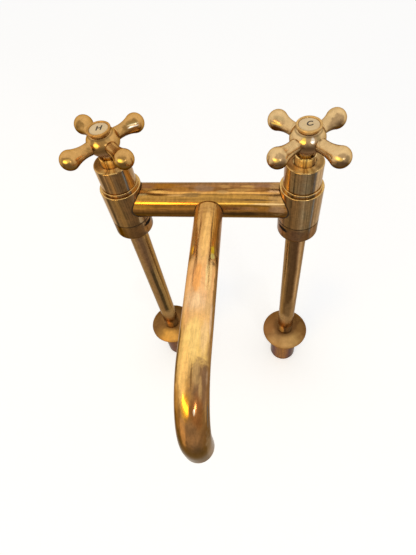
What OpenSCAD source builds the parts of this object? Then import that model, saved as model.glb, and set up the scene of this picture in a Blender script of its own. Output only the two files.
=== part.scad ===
// Two-hole bridge mixer tap with cross handles.
// Two deck legs carry two valve bodies, a bridge tube joins them and a fixed
// spout leaves the middle of the bridge. Each column holds a screw-down valve
// whose spindle rises as its handle turns.
// Millimetres. The origin lies on the deck, midway between the two legs.
// +Z is up and -Y is the way the spout points.

/* [Layout] */
// Distance between the axes of the two columns
column_spacing = 150; // [120:1:220]
// Height of the bridge tube's axis above the deck
bridge_height = 240; // [160:1:320]

/* [Deck fixing] */
// Diameter of the threaded shank below the deck
tail_d = 33.2; // [31:0.1:42]
// Length of the shank below the deck
tail_len = 63; // [45:1:90]
// Bevel on the shank's lower edge
tail_bevel = 1.6; // [0.5:0.1:2.5]
// Diameter of the spigot that the deck flange is seated on
tail_spigot_d = 24; // [22:0.5:27]
// Diameter of the water inlet in the shank's foot
inlet_d = 18.63; // [16:0.01:22]
// Depth of the water inlet
inlet_depth = 15; // [10:1:20]
// Diameter of the waterway between inlet and leg
waterway_d = 14; // [10:0.5:15]
// Depth of the leg's socket below the deck
leg_socket_depth = 12; // [6:1:18]
// Diameter of the domed flange on the deck
flange_d = 55.4; // [50:0.2:70]
// Height of the domed flange
flange_h = 8.4; // [7.6:0.1:10]
// Height of the flange's upright edge
flange_edge_h = 1.5; // [1:0.1:2.5]
// Wall of the flange
flange_wall = 2; // [1.5:0.1:2.4]

/* [Legs] */
// Outside diameter of the leg tube
leg_d = 18.5; // [16:0.5:20]
// Wall of the leg tube
leg_wall = 1.5; // [1:0.1:2.2]
// Thickness of the collar at the leg's top
leg_collar_h = 2.5; // [1.5:0.1:4]
// Thickness of the washer above the leg's collar
leg_washer_h = 1.5; // [1:0.1:3]

/* [Leg nuts] */
// Height of the nut that holds the leg to the valve body
nut_h = 17.7; // [15:0.1:26]
// Thickness of the nut's floor
nut_floor = 4; // [3.5:0.1:5]
// Radius of the nut's lower edge
nut_round = 3; // [1:0.1:3.4]
// Diameter of the threaded boss inside the nut
union_d = 28.6; // [26:0.1:30]

/* [Valve bodies] */
// Diameter of the valve body and of its leg nut
body_d = 35; // [34:0.2:42]
// Height of the valve body
body_h = 35.2; // [33:0.2:44]
// Radius of the body's upper edge
body_edge = 0.8; // [0.3:0.1:1.2]
// Bevel at the seam between the body and its nut
seam_bevel = 0.4; // [0.2:0.1:0.8]
// Diameter of the valve chamber and of the thread above it
chamber_d = 19; // [18.4:0.1:19.6]
// Depth of the valve seat's face below the bridge axis
seat_drop = 8.5; // [8:0.1:10]
// Diameter of the hole in the valve seat
seat_hole_d = 12; // [10:0.2:13]
// Width of the seat's raised lip
seat_lip_w = 1.6; // [1:0.1:2.2]
// Height of the seat's raised lip
seat_lip_h = 1.2; // [0.6:0.1:1.8]
// Diameter of the port from the chamber to the bridge
port_d = 12.4; // [10:0.2:13]
// Length of the spigot that the bridge tube fits over
spigot_len = 4; // [2:0.5:8]

/* [Bridge] */
// Outside diameter of the bridge tube
bridge_d = 29.4; // [27:0.2:31]
// Wall of the bridge tube
bridge_wall = 1.6; // [1.2:0.1:2.5]

/* [Spout] */
// Outside diameter of the spout tube
spout_d = 23.4; // [19:0.2:25]
// Wall of the spout tube
spout_wall = 1.5; // [1:0.1:2.5]
// Radius that rounds the spout's end over where it meets the bridge
spout_root_round = 3; // [2:0.1:3.4]
// Distance from where that rounding ends to the front of the bridge
spout_root_in = 0.5; // [0.3:0.1:1]
// Distance from the bridge axis to the axis of the spout's mouth
spout_reach = 186; // [120:0.5:240]
// Radius of the spout's bend, measured on its axis
spout_bend_r = 46; // [30:0.5:70]
// Length of straight tube below the bend
spout_drop = 13; // [8:0.5:60]
// Angle that the brazed spout leans to the cold side
spout_lean = 1.5; // [-3:0.1:3]
// Bevel inside the spout's mouth
mouth_bevel = 0.6; // [0.2:0.1:0.8]

/* [Headworks] */
// Width across the flats of the headwork's hexagon
hex_af = 22; // [21.6:0.1:22.6]
// Height of the hexagon
hex_h = 6; // [4:0.1:8]
// Thickness of the sealing washer under the hexagon
body_washer_h = 1; // [0.6:0.1:1.5]
// Length of the threaded skirt that enters the valve body
skirt_len = 10; // [8:0.1:11]
// Diameter of the barrel above the hexagon
barrel_d = 18.9; // [18.4:0.1:19.4]
// Diameter of the box that holds the gland packing
packing_box_d = 14; // [13:0.1:14.6]
// Height of the gland packing
packing_h = 5; // [3:0.1:6]
// Thickness of the guide under the packing
guide_h = 4; // [2.5:0.1:5]

/* [Spindles] */
// Diameter of the spindle's stem
stem_d = 9.4; // [8.8:0.1:10]
// Diameter of the threaded foot of the spindle
spindle_foot_d = 12.4; // [11.6:0.1:13.2]
// Rise of the spindle for each turn of the handle
thread_pitch = 2.54; // [1.5:0.01:3]
// Turns of the handle from closed to fully open
handle_turns = 2.5; // [1:0.25:2.75]
// Width of the square at the spindle's top
square_w = 6.6; // [6:0.1:6.6]
// Length of the square
square_len = 11; // [9:0.1:11.5]

/* [Valve plugs] */
// Diameter of the jumper's plate
jumper_d = 17; // [16.6:0.1:17.4]
// Thickness of the jumper's plate
jumper_h = 2.5; // [1.5:0.1:3]
// Diameter of the jumper's stem in the spindle
jumper_stem_d = 5; // [4:0.1:6]
// Length of the jumper's stem
jumper_stem_len = 12; // [8:0.1:14]
// Diameter of the rubber tap washer
tap_washer_d = 16.4; // [15.8:0.1:17]
// Thickness of the rubber tap washer
tap_washer_h = 3.5; // [2.5:0.1:4]
// Width across the flats of the nut under the washer
washer_nut_af = 6; // [5:0.1:7]
// Height of the nut under the washer
washer_nut_h = 2.4; // [1.5:0.1:3]
// Diameter of the stud that carries that nut
washer_stud_d = 3; // [2.5:0.1:3.5]

/* [Bonnets] */
// Diameter of the bonnet that covers the headwork
bonnet_d = 29.5; // [29:0.1:31]
// Height of the bonnet
bonnet_h = 24.4; // [23:0.1:32]
// Wall of the bonnet
bonnet_wall = 1.3; // [1:0.1:1.4]
// Thickness of the bonnet's top
bonnet_top_h = 1.4; // [1:0.1:2]
// Radius of the bonnet's upper edge
bonnet_edge = 1.1; // [0.5:0.1:1.8]
// Diameter of the foot at the bonnet's base
bonnet_foot_d = 31.8; // [31:0.1:33]
// Height of the foot at the bonnet's base
bonnet_foot_h = 3; // [1.5:0.1:4]
// Radius of the bonnet foot's upper edge
bonnet_foot_edge = 0.7; // [0.3:0.1:0.7]
// Diameter of the hole in the bonnet's top
bonnet_hole_d = 17.8; // [17:0.1:18.8]
// Height of the threaded ring inside the bonnet
bonnet_ring_h = 6; // [3:0.1:8]

/* [Gland nuts] */
// Diameter of the gland nut's head
gland_d = 16; // [15:0.1:16.6]
// Height of the gland nut above the bonnet
gland_rise = 7.1; // [4:0.1:10]
// Length of the gland nut's thread
gland_thread_len = 5; // [3:0.1:6]
// Bevel on the gland nut's upper edge
gland_bevel = 0.6; // [0.2:0.1:1]

/* [Handles] */
// Distance over two opposite bulbs of the cross handle
handle_span = 73.4; // [66:0.2:90]
// Diameter of the bulb at the end of each arm
bulb_d = 15.2; // [14:0.1:17]
// Diameter of the arm at its thinnest
arm_neck_d = 9.8; // [8.6:0.1:10.6]
// Distance from the handle's axis to the arm's thinnest place
arm_neck_at = 15.8; // [15:0.1:17.4]
// Diameter of the handle's hub
hub_d = 25.6; // [24.6:0.1:27]
// Height of the hub's rounded middle
hub_round_h = 19; // [17:0.1:19.6]
// Diameter of the hub's top, under the index cap
hub_top_d = 16.4; // [16:0.1:17]
// Diameter of the hub's neck
hub_neck_d = 12; // [11:0.1:13]
// Height from the foot of the hub's neck to the arms' axis
hub_drop = 10.7; // [10:0.1:12]
// Height from the arms' axis to the hub's top
hub_rise = 8.8; // [8.4:0.1:9.4]
// Clear height between the gland nut and the hub when closed
handle_gap = 2.3; // [0.5:0.1:4]
// Diameter of the peg that holds an arm in the hub
peg_d = 4.8; // [4:0.1:5.2]
// Length of that peg
peg_len = 4; // [2.5:0.1:4.2]
// Angle of the hot handle's arms from the bridge when closed
hot_handle_angle = 46; // [0:0.5:89]
// Angle of the cold handle's arms from the bridge when closed
cold_handle_angle = 45.5; // [0:0.5:89]

/* [Handle screws] */
// Diameter of the handle screw's thread
screw_d = 4; // [3:0.1:4.4]
// Length of the handle screw's thread below the hub's floor
screw_grip = 8; // [5:0.1:9]
// Diameter of the handle screw's head
screw_head_d = 8.4; // [7:0.1:9]
// Height of the handle screw's head
screw_head_h = 2; // [1.5:0.1:2.4]
// Thickness of the hub's floor under the screw's head
hub_floor = 2.2; // [1.6:0.1:3]

/* [Index caps] */
// Diameter of the index cap's ring
cap_d = 18.2; // [17.6:0.1:19.6]
// Height of the index cap's ring
cap_h = 2.9; // [2.7:0.1:3.6]
// Diameter of the threaded skirt under the cap
cap_skirt_d = 13.4; // [12.6:0.1:14]
// Length of the threaded skirt under the cap
cap_skirt_len = 2; // [1.5:0.1:2.4]
// Diameter of the porcelain disc
disc_d = 14.4; // [13.6:0.1:14.8]
// Thickness of the porcelain disc
disc_h = 1.7; // [1.2:0.1:2]

/* [Clearances] */
// Radial clearance of a turning or sliding fit
run_gap = 0.05; // [0.02:0.01:0.1]
// Radial clearance of a screwed, pushed or brazed fit
fit_gap = 0.05; // [0.02:0.01:0.1]
// Clear height left between faces that don't touch
face_gap = 0.3; // [0.1:0.05:0.5]
// Height of the tap washer above its seat at rest
seat_gap = 0.05; // [0.02:0.01:0.1]

/* [Hidden] */

$fn = 96;
hot = -1;
cold = 1;

// Colours of the aged brass, the porcelain, the rubber and the fibre
brass_body = [0.52, 0.38, 0.20];
brass_bright = [0.80, 0.60, 0.30];
brass_satin = [0.76, 0.60, 0.38];
brass_inner = [0.78, 0.63, 0.33];
porcelain = [0.85, 0.79, 0.66];
rubber = [0.09, 0.09, 0.10];
fibre = [0.55, 0.20, 0.12];

// How far a cutting shape runs past the face that it cuts, and a joined one past its join
over = 1;
// How far the parts of one section run into each other
weld = 0.01;

// Heights of the column's joints above the deck
body_top = bridge_height + body_h / 2;
body_bottom = bridge_height - body_h / 2;
nut_bottom = body_bottom - nut_h;
leg_collar_bottom = nut_bottom + nut_floor;
leg_top = leg_collar_bottom + leg_collar_h;
boss_bottom = leg_top + leg_washer_h;

// Deck flange: a ball's cap whose surface passes through its flat top and its edge
flange_r = flange_d / 2;
flange_land_w = 1.6;
flange_land_r = leg_d / 2 + flange_land_w;
dome_z = (flange_land_r^2 - flange_r^2 + flange_h^2 - flange_edge_h^2)
    / (2 * (flange_h - flange_edge_h));
dome_r = sqrt(flange_land_r^2 + (flange_h - dome_z)^2);
tail_spigot_top = dome_z + sqrt((dome_r - flange_wall)^2 - (tail_spigot_d / 2)^2) - fit_gap;

// Turned line near the shank's foot
ring_mark_w = 0.8;
ring_mark_depth = 0.4;
ring_mark_z = -tail_len + tail_bevel + 2.4;

// Valve chamber, with a seat as thick as its hole is long
seat_top = bridge_height - seat_drop;
chamber_floor = seat_top - seat_lip_h;
seat_hole_len = 4.5;
leg_bore_d = leg_d - 2 * leg_wall;
leg_collar_gap = 0.4;
leg_collar_d = union_d - 2 * leg_collar_gap;
bridge_bore_d = bridge_d - 2 * bridge_wall;
spout_root_at = bridge_d / 2 - spout_root_in;
spout_root_bore_d = spout_d - 2 * spout_root_round;

// Headwork and gland
bonnet_top = body_top + bonnet_h;
headwork_top = bonnet_top - bonnet_top_h - face_gap;
hex_bottom = body_top + body_washer_h;
body_washer_inset = 0.2;
packing_top = headwork_top - gland_thread_len;
packing_bottom = packing_top - packing_h;
spindle_thread_top = packing_bottom - guide_h;
gland_top = bonnet_top + gland_rise;

// Valve plug and spindle, closed
lift = thread_pitch * handle_turns;
tap_washer_bottom = seat_top + seat_gap;
jumper_bottom = tap_washer_bottom + tap_washer_h;
jumper_top = jumper_bottom + jumper_h;
spindle_bottom = jumper_top + run_gap;
spindle_foot_top = spindle_thread_top - lift - face_gap;

// Handle, closed
hub_bottom = gland_top + handle_gap;
arm_z = hub_bottom + hub_drop;
hub_top = arm_z + hub_rise;
square_top = hub_bottom + square_len;
hub_floor_bottom = square_top + face_gap;
hub_floor_top = hub_floor_bottom + hub_floor;
hub_round_r = hub_round_h / 2;
hub_ring_r = hub_d / 2 - hub_round_r;
arm_seat_depth = 0.1;
arm_root_at = hub_d / 2 - arm_seat_depth;
bulb_r = bulb_d / 2;
bulb_at = handle_span / 2 - bulb_r;
neck_r = arm_neck_d / 2;

// The arm's hollow side is an arc that touches the bulb's ball, less the fine step the tool leaves there
arm_tool_step = 0.03;
arm_arc_r = ((bulb_at - arm_neck_at)^2 + neck_r^2 - bulb_r^2) / (2 * (bulb_r - neck_r));
arm_cut_r = arm_arc_r + arm_tool_step;
arm_touch_share = bulb_r / (bulb_r + arm_arc_r);
arm_touch_at = bulb_at - (bulb_at - arm_neck_at) * arm_touch_share;
arm_touch_r = (neck_r + arm_arc_r) * arm_touch_share;
arm_root_r = neck_r + arm_arc_r - sqrt(arm_cut_r^2 - (arm_neck_at - arm_root_at)^2);

// Index cap
cap_floor_h = 0.6;
disc_edge = 0.4;
cap_disc_bottom = hub_top + cap_floor_h;
cap_ring_r = (cap_d - disc_d) / 4 - fit_gap / 2;

// A cylinder from one height to another
module round_bar(d, from, to) {
    translate([0, 0, from]) cylinder(d = d, h = to - from);
}

// A straight-walled ring
module ring(d_out, d_in, from, to) {
    difference() {
        round_bar(d_out, from, to);
        round_bar(d_in, from - over, to + over);
    }
}

// Half of a turned cylinder's section, with a rounded upper or lower edge
module edge_section(d, from, to, top_r = 0, bottom_r = 0) {
    translate([0, from + bottom_r]) square([d / 2, to - from - top_r - bottom_r]);
    if (top_r > 0) {
        translate([0, to - top_r - weld]) square([d / 2 - top_r, top_r + weld]);
        translate([d / 2 - top_r, to - top_r]) circle(r = top_r);
    }
    if (bottom_r > 0) {
        translate([0, from]) square([d / 2 - bottom_r, bottom_r + weld]);
        translate([d / 2 - bottom_r, from + bottom_r]) circle(r = bottom_r);
    }
}

// A turned cylinder with rounded edges
module turned(d, from, to, top_r = 0, bottom_r = 0) {
    rotate_extrude() edge_section(d, from, to, top_r, bottom_r);
}

// Shank below the deck, with the water inlet in its foot and the leg's socket on top
module tail_shank() {
    color(brass_inner) difference() {
        union() {
            round_bar(tail_d, -tail_len + tail_bevel, 0);
            translate([0, 0, -tail_len])
                cylinder(d1 = tail_d - 2 * tail_bevel, d2 = tail_d, h = tail_bevel);
            round_bar(tail_spigot_d, -over, tail_spigot_top);
        }
        round_bar(leg_d + 2 * fit_gap, -leg_socket_depth, tail_spigot_top + over);
        round_bar(waterway_d, -tail_len + inlet_depth - over, -leg_socket_depth + over);
        round_bar(inlet_d, -tail_len - over, -tail_len + inlet_depth);
        ring(tail_d + over, tail_d - 2 * ring_mark_depth, ring_mark_z, ring_mark_z + ring_mark_w);
    }
}

// Domed cover on the deck, open below
module deck_flange() {
    color(brass_satin) difference() {
        intersection() {
            round_bar(flange_d, 0, flange_h);
            translate([0, 0, dome_z]) sphere(r = dome_r);
        }
        intersection() {
            round_bar(flange_d - 2 * flange_wall, -over, flange_h);
            translate([0, 0, dome_z]) sphere(r = dome_r - flange_wall);
        }
        round_bar(leg_d + 2 * fit_gap, -over, flange_h + over);
    }
}

// Leg tube with a brazed collar that the nut pulls up
module leg_tube() {
    color(brass_bright) difference() {
        union() {
            round_bar(leg_d, -leg_socket_depth, leg_top);
            round_bar(leg_collar_d, leg_collar_bottom, leg_top);
        }
        round_bar(leg_bore_d, -leg_socket_depth - over, leg_top + over);
    }
}

// Nut that holds the leg to the valve body
module leg_nut() {
    color(brass_body) difference() {
        turned(body_d, nut_bottom, body_bottom, seam_bevel, nut_round);
        round_bar(leg_d + 2 * fit_gap, nut_bottom - over, body_bottom);
        round_bar(union_d + 2 * fit_gap, leg_collar_bottom, body_bottom + over);
    }
}

// Fibre washer between the leg's collar and the valve body
module leg_washer() {
    color(fibre) ring(leg_collar_d, leg_bore_d, leg_top, boss_bottom);
}

// Valve body: chamber and seat inside, boss for the leg nut, spigot for the bridge
module valve_body(side) {
    color(brass_body) difference() {
        union() {
            turned(body_d, body_bottom, body_top, body_edge, seam_bevel);
            round_bar(union_d, boss_bottom, body_bottom + over);
            translate([0, 0, bridge_height]) rotate([0, -side * 90, 0])
                cylinder(d = bridge_bore_d - 2 * fit_gap, h = body_d / 2 + spigot_len);
        }
        round_bar(leg_bore_d, boss_bottom - over, chamber_floor - seat_hole_len);
        round_bar(seat_hole_d, boss_bottom, seat_top + over);
        difference() {
            round_bar(chamber_d, chamber_floor, body_top + over);
            round_bar(seat_hole_d + 2 * seat_lip_w, chamber_floor - over, seat_top);
        }
        translate([0, 0, bridge_height]) rotate([0, -side * 90, 0])
            cylinder(d = port_d, h = body_d / 2 + spigot_len + over);
    }
}

// Fibre washer between the headwork and the valve body
module body_washer() {
    color(fibre) ring(hex_af - 2 * body_washer_inset, chamber_d, body_top, hex_bottom);
}

// Headwork: threaded skirt, hexagon, barrel for the bonnet and box for the packing
module headwork() {
    color(brass_inner) difference() {
        union() {
            round_bar(chamber_d - 2 * fit_gap, body_top - skirt_len, hex_bottom + over);
            translate([0, 0, hex_bottom]) cylinder(d = hex_af / cos(30), h = hex_h, $fn = 6);
            round_bar(barrel_d, hex_bottom + hex_h - over, headwork_top);
        }
        round_bar(spindle_foot_d + 2 * run_gap, body_top - skirt_len - over, spindle_thread_top);
        round_bar(stem_d + 2 * run_gap, spindle_thread_top - over, packing_bottom + over);
        round_bar(packing_box_d, packing_bottom, headwork_top + over);
    }
}

// Bonnet that hides the headwork, with a flared foot and a threaded ring inside
module bonnet() {
    bonnet_inner_d = bonnet_d - 2 * bonnet_wall;
    ring_top = headwork_top - face_gap;
    color(brass_body) difference() {
        union() {
            turned(bonnet_d, body_top, bonnet_top, bonnet_edge, 0);
            turned(bonnet_foot_d, body_top, body_top + bonnet_foot_h, bonnet_foot_edge, 0);
        }
        round_bar(bonnet_inner_d, body_top - over, ring_top - bonnet_ring_h);
        round_bar(barrel_d + 2 * fit_gap, ring_top - bonnet_ring_h - over,
            bonnet_top - bonnet_top_h);
        round_bar(bonnet_hole_d, bonnet_top - bonnet_top_h - over, bonnet_top + over);
    }
}

// Soft ring squeezed round the spindle by the gland nut
module gland_packing() {
    color(rubber) ring(packing_box_d - 2 * fit_gap, stem_d + 2 * run_gap,
        packing_bottom, packing_top);
}

// Gland nut: its head is the round stub that stands in the bonnet's top
module gland_nut() {
    color(brass_bright) difference() {
        union() {
            round_bar(gland_d, headwork_top, gland_top - gland_bevel);
            translate([0, 0, gland_top - gland_bevel])
                cylinder(d1 = gland_d, d2 = gland_d - 2 * gland_bevel, h = gland_bevel);
            round_bar(packing_box_d - 2 * fit_gap, packing_top, headwork_top + over);
        }
        round_bar(stem_d + 2 * run_gap, packing_top - over, gland_top + over);
    }
}

// Jumper: a plate that carries the washer, with a stem in the spindle's foot
module jumper() {
    color(brass_inner) union() {
        round_bar(jumper_d, jumper_bottom, jumper_top);
        round_bar(jumper_stem_d, jumper_top - over, jumper_top + jumper_stem_len);
        round_bar(washer_stud_d, tap_washer_bottom - washer_nut_h, jumper_bottom + over);
    }
}

// Rubber washer that closes the seat
module tap_washer() {
    color(rubber) ring(tap_washer_d, washer_stud_d + 2 * fit_gap, tap_washer_bottom, jumper_bottom);
}

// Small nut that holds the washer on the jumper
module washer_nut() {
    color(brass_inner) difference() {
        translate([0, 0, tap_washer_bottom - washer_nut_h])
            cylinder(d = washer_nut_af / cos(30), h = washer_nut_h, $fn = 6);
        round_bar(washer_stud_d + 2 * fit_gap, tap_washer_bottom - washer_nut_h - over,
            tap_washer_bottom + over);
    }
}

// Spindle: threaded foot, plain stem through the packing and a square for the handle
module spindle(angle) {
    color(brass_inner) difference() {
        union() {
            round_bar(spindle_foot_d, spindle_bottom, spindle_foot_top);
            round_bar(stem_d, spindle_bottom, hub_bottom);
            translate([0, 0, hub_bottom - over]) rotate([0, 0, angle])
                translate([-square_w / 2, -square_w / 2, 0])
                    cube([square_w, square_w, square_len + over]);
        }
        round_bar(jumper_stem_d + 2 * run_gap, spindle_bottom - over,
            spindle_bottom + jumper_stem_len + face_gap);
        round_bar(screw_d + 2 * fit_gap, hub_floor_bottom - screw_grip - face_gap,
            square_top + over);
    }
}

// Section of the hub: a rounded middle, a short top and a slim neck
module hub_section() {
    translate([hub_ring_r, arm_z]) circle(r = hub_round_r);
    translate([0, arm_z - hub_round_r]) square([hub_ring_r, hub_round_h]);
    translate([0, arm_z]) square([hub_top_d / 2, hub_rise]);
    translate([0, hub_bottom]) square([hub_neck_d / 2, hub_drop]);
}

// Handle's hub, with four seats for the arms and a square socket for the spindle
module handle_hub(angle) {
    color(brass_satin) rotate([0, 0, angle]) difference() {
        union() {
            rotate_extrude() intersection() {
                hub_section();
                square([hub_d, hub_top]);
            }
            for (turn = [0 : 90 : 270]) rotate([0, 0, turn]) translate([0, 0, arm_z])
                rotate([0, 90, 0]) cylinder(r = arm_root_r, h = arm_root_at);
        }
        for (turn = [0 : 90 : 270]) rotate([0, 0, turn])
            translate([arm_root_at - peg_len - face_gap, 0, arm_z]) rotate([0, 90, 0])
                cylinder(d = peg_d + 2 * fit_gap, h = peg_len + face_gap + over);
        translate([-square_w / 2 - fit_gap, -square_w / 2 - fit_gap, hub_bottom - over])
            cube([square_w + 2 * fit_gap, square_w + 2 * fit_gap, hub_floor_bottom - hub_bottom + over]);
        round_bar(screw_d + 2 * fit_gap, hub_floor_bottom - over, hub_floor_top + over);
        round_bar(cap_skirt_d + 2 * fit_gap, hub_floor_top, hub_top + over);
    }
}

// Section of one arm along its axis: root, hollow side and bulb
module arm_section() {
    difference() {
        translate([0, arm_root_at]) square([arm_touch_r + over, arm_touch_at - arm_root_at]);
        translate([neck_r + arm_arc_r, arm_neck_at]) circle(r = arm_cut_r, $fn = 360);
    }
    intersection() {
        translate([0, bulb_at]) circle(r = bulb_r);
        translate([0, arm_touch_at]) square([bulb_r, bulb_d]);
    }
}

// Four turned arms, each with a peg in the hub
module handle_arms(angle) {
    color(brass_satin) for (turn = [0 : 90 : 270])
        translate([0, 0, arm_z]) rotate([0, 0, angle + turn]) rotate([0, 90, 0]) union() {
            rotate_extrude() arm_section();
            round_bar(peg_d, arm_root_at - peg_len, arm_root_at + over);
        }
}

// Screw that holds the handle on the spindle
module handle_screw() {
    slot_w = 1;
    color(brass_inner) difference() {
        union() {
            round_bar(screw_d, hub_floor_bottom - screw_grip, hub_floor_top + over);
            round_bar(screw_head_d, hub_floor_top, hub_floor_top + screw_head_h);
        }
        translate([-screw_head_d, -slot_w / 2, hub_floor_top + screw_head_h / 2])
            cube([2 * screw_head_d, slot_w, screw_head_h]);
    }
}

// Index cap: a rounded ring round the disc, with a skirt screwed into the hub
module index_cap() {
    color(brass_bright) difference() {
        union() {
            rotate_extrude() {
                translate([0, hub_top]) square([cap_d / 2 - cap_ring_r, cap_h - cap_ring_r]);
                translate([cap_d / 2 - cap_ring_r, hub_top + cap_ring_r])
                    square([cap_ring_r, cap_h - 2 * cap_ring_r]);
                translate([cap_d / 2 - cap_ring_r, hub_top + cap_ring_r]) circle(r = cap_ring_r);
                translate([cap_d / 2 - cap_ring_r, hub_top + cap_h - cap_ring_r])
                    circle(r = cap_ring_r);
            }
            round_bar(cap_skirt_d, hub_top - cap_skirt_len, hub_top + cap_floor_h);
        }
        round_bar(disc_d + 2 * fit_gap, cap_disc_bottom, hub_top + cap_h + over);
        round_bar(screw_head_d + 2 * face_gap, hub_top - cap_skirt_len - over, cap_disc_bottom + over);
    }
}

// Porcelain disc, seated on the cap's floor
module index_disc() {
    color(porcelain) turned(disc_d, cap_disc_bottom, cap_disc_bottom + disc_h, disc_edge, 0);
}

// Bridge tube, cut to fit round the two valve bodies and open to the spout
module bridge_tube() {
    color(brass_bright) difference() {
        translate([-column_spacing / 2, 0, bridge_height]) rotate([0, 90, 0])
            cylinder(d = bridge_d, h = column_spacing);
        translate([-column_spacing / 2 - over, 0, bridge_height]) rotate([0, 90, 0])
            cylinder(d = bridge_bore_d, h = column_spacing + 2 * over);
        for (side = [hot, cold]) translate([side * column_spacing / 2, 0, 0])
            round_bar(body_d + 2 * fit_gap, bridge_height - bridge_d, bridge_height + bridge_d);
        rotate([0, 0, spout_lean]) translate([0, 0, bridge_height]) rotate([90, 0, 0])
            cylinder(d = spout_root_bore_d, h = bridge_d);
    }
}

// A rod along the spout's route: level, round the bend and down
module spout_route(d, from, extra) {
    bend_start = spout_reach - spout_bend_r;
    translate([0, -from, bridge_height]) rotate([90, 0, 0])
        cylinder(d = d, h = bend_start - from);
    translate([0, -bend_start, bridge_height - spout_bend_r]) rotate([90, 0, -90])
        rotate_extrude(angle = 90) translate([spout_bend_r, 0]) circle(d = d);
    translate([0, -spout_reach, 0])
        round_bar(d, bridge_height - spout_bend_r - spout_drop - extra, bridge_height - spout_bend_r);
}

// Rounded end of the spout, from the bridge's axis to where its full tube starts
module spout_root() {
    round_at = spout_d / 2 - spout_root_round;
    translate([0, 0, bridge_height]) rotate([90, 0, 0]) rotate_extrude() {
        square([round_at, spout_root_at]);
        intersection() {
            translate([round_at, spout_root_at]) circle(r = spout_root_round);
            translate([0, spout_root_at - spout_root_round]) square([spout_d / 2, spout_root_round]);
        }
    }
}

// Fixed spout, its root cut to fit the front of the bridge tube
module spout() {
    spout_bore_d = spout_d - 2 * spout_wall;
    mouth_z = bridge_height - spout_bend_r - spout_drop;
    color(brass_bright) rotate([0, 0, spout_lean]) difference() {
        union() {
            spout_root();
            spout_route(spout_d, spout_root_at, 0);
        }
        spout_route(spout_bore_d, spout_root_at, over);
        translate([0, over, bridge_height]) rotate([90, 0, 0])
            cylinder(d = spout_root_bore_d, h = spout_root_at + 2 * over);
        rotate([0, 0, -spout_lean]) translate([-bridge_d, 0, bridge_height]) rotate([0, 90, 0])
            cylinder(d = bridge_d + 2 * fit_gap, h = 2 * bridge_d);
        translate([0, -spout_reach, mouth_z - weld])
            cylinder(d1 = spout_bore_d + 2 * mouth_bevel, d2 = spout_bore_d, h = mouth_bevel);
    }
}

// Moves a piece from the origin to its column
module at_column(side) {
    translate([side * column_spacing / 2, 0, 0]) children();
}

bridge_tube();
spout();
at_column(hot) tail_shank();  // hot_tail_shank
at_column(hot) deck_flange();  // hot_deck_flange
at_column(hot) leg_tube();  // hot_leg_tube
at_column(hot) leg_nut();  // hot_leg_nut
at_column(hot) leg_washer();  // hot_leg_washer
at_column(hot) valve_body(hot);  // hot_valve_body
at_column(hot) body_washer();  // hot_body_washer
at_column(hot) headwork();  // hot_headwork
at_column(hot) bonnet();  // hot_bonnet
at_column(hot) gland_packing();  // hot_gland_packing
at_column(hot) gland_nut();  // hot_gland_nut
at_column(hot) jumper();  // hot_jumper
at_column(hot) tap_washer();  // hot_tap_washer
at_column(hot) washer_nut();  // hot_washer_nut
at_column(hot) spindle(hot_handle_angle);  // hot_spindle
at_column(hot) handle_hub(hot_handle_angle);  // hot_handle_hub
at_column(hot) handle_arms(hot_handle_angle);  // hot_handle_arms
at_column(hot) handle_screw();  // hot_handle_screw
at_column(hot) index_cap();  // hot_index_cap
at_column(hot) index_disc();  // hot_index_disc
at_column(cold) tail_shank();  // cold_tail_shank
at_column(cold) deck_flange();  // cold_deck_flange
at_column(cold) leg_tube();  // cold_leg_tube
at_column(cold) leg_nut();  // cold_leg_nut
at_column(cold) leg_washer();  // cold_leg_washer
at_column(cold) valve_body(cold);  // cold_valve_body
at_column(cold) body_washer();  // cold_body_washer
at_column(cold) headwork();  // cold_headwork
at_column(cold) bonnet();  // cold_bonnet
at_column(cold) gland_packing();  // cold_gland_packing
at_column(cold) gland_nut();  // cold_gland_nut
at_column(cold) jumper();  // cold_jumper
at_column(cold) tap_washer();  // cold_tap_washer
at_column(cold) washer_nut();  // cold_washer_nut
at_column(cold) spindle(cold_handle_angle);  // cold_spindle
at_column(cold) handle_hub(cold_handle_angle);  // cold_handle_hub
at_column(cold) handle_arms(cold_handle_angle);  // cold_handle_arms
at_column(cold) handle_screw();  // cold_handle_screw
at_column(cold) index_cap();  // cold_index_cap
at_column(cold) index_disc();  // cold_index_disc
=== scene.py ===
# %% [markdown]
# # An old brass mixer tap
#
# Two legs stand on a deck. Each carries a valve body with a cross handle, a bridge tube joins the two
# bodies, and a level spout leaves the middle of the bridge. All of it is brass that was never lacquered,
# so it has aged: rubbed bright where hands and cloths reach, brown where they don't.
#
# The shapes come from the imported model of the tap. This file adds the camera, the light, the finishes and
# the few small pieces that only matter to the eye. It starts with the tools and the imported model.

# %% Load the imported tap
import math

import bpy
from mathutils import Matrix, Vector


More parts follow.
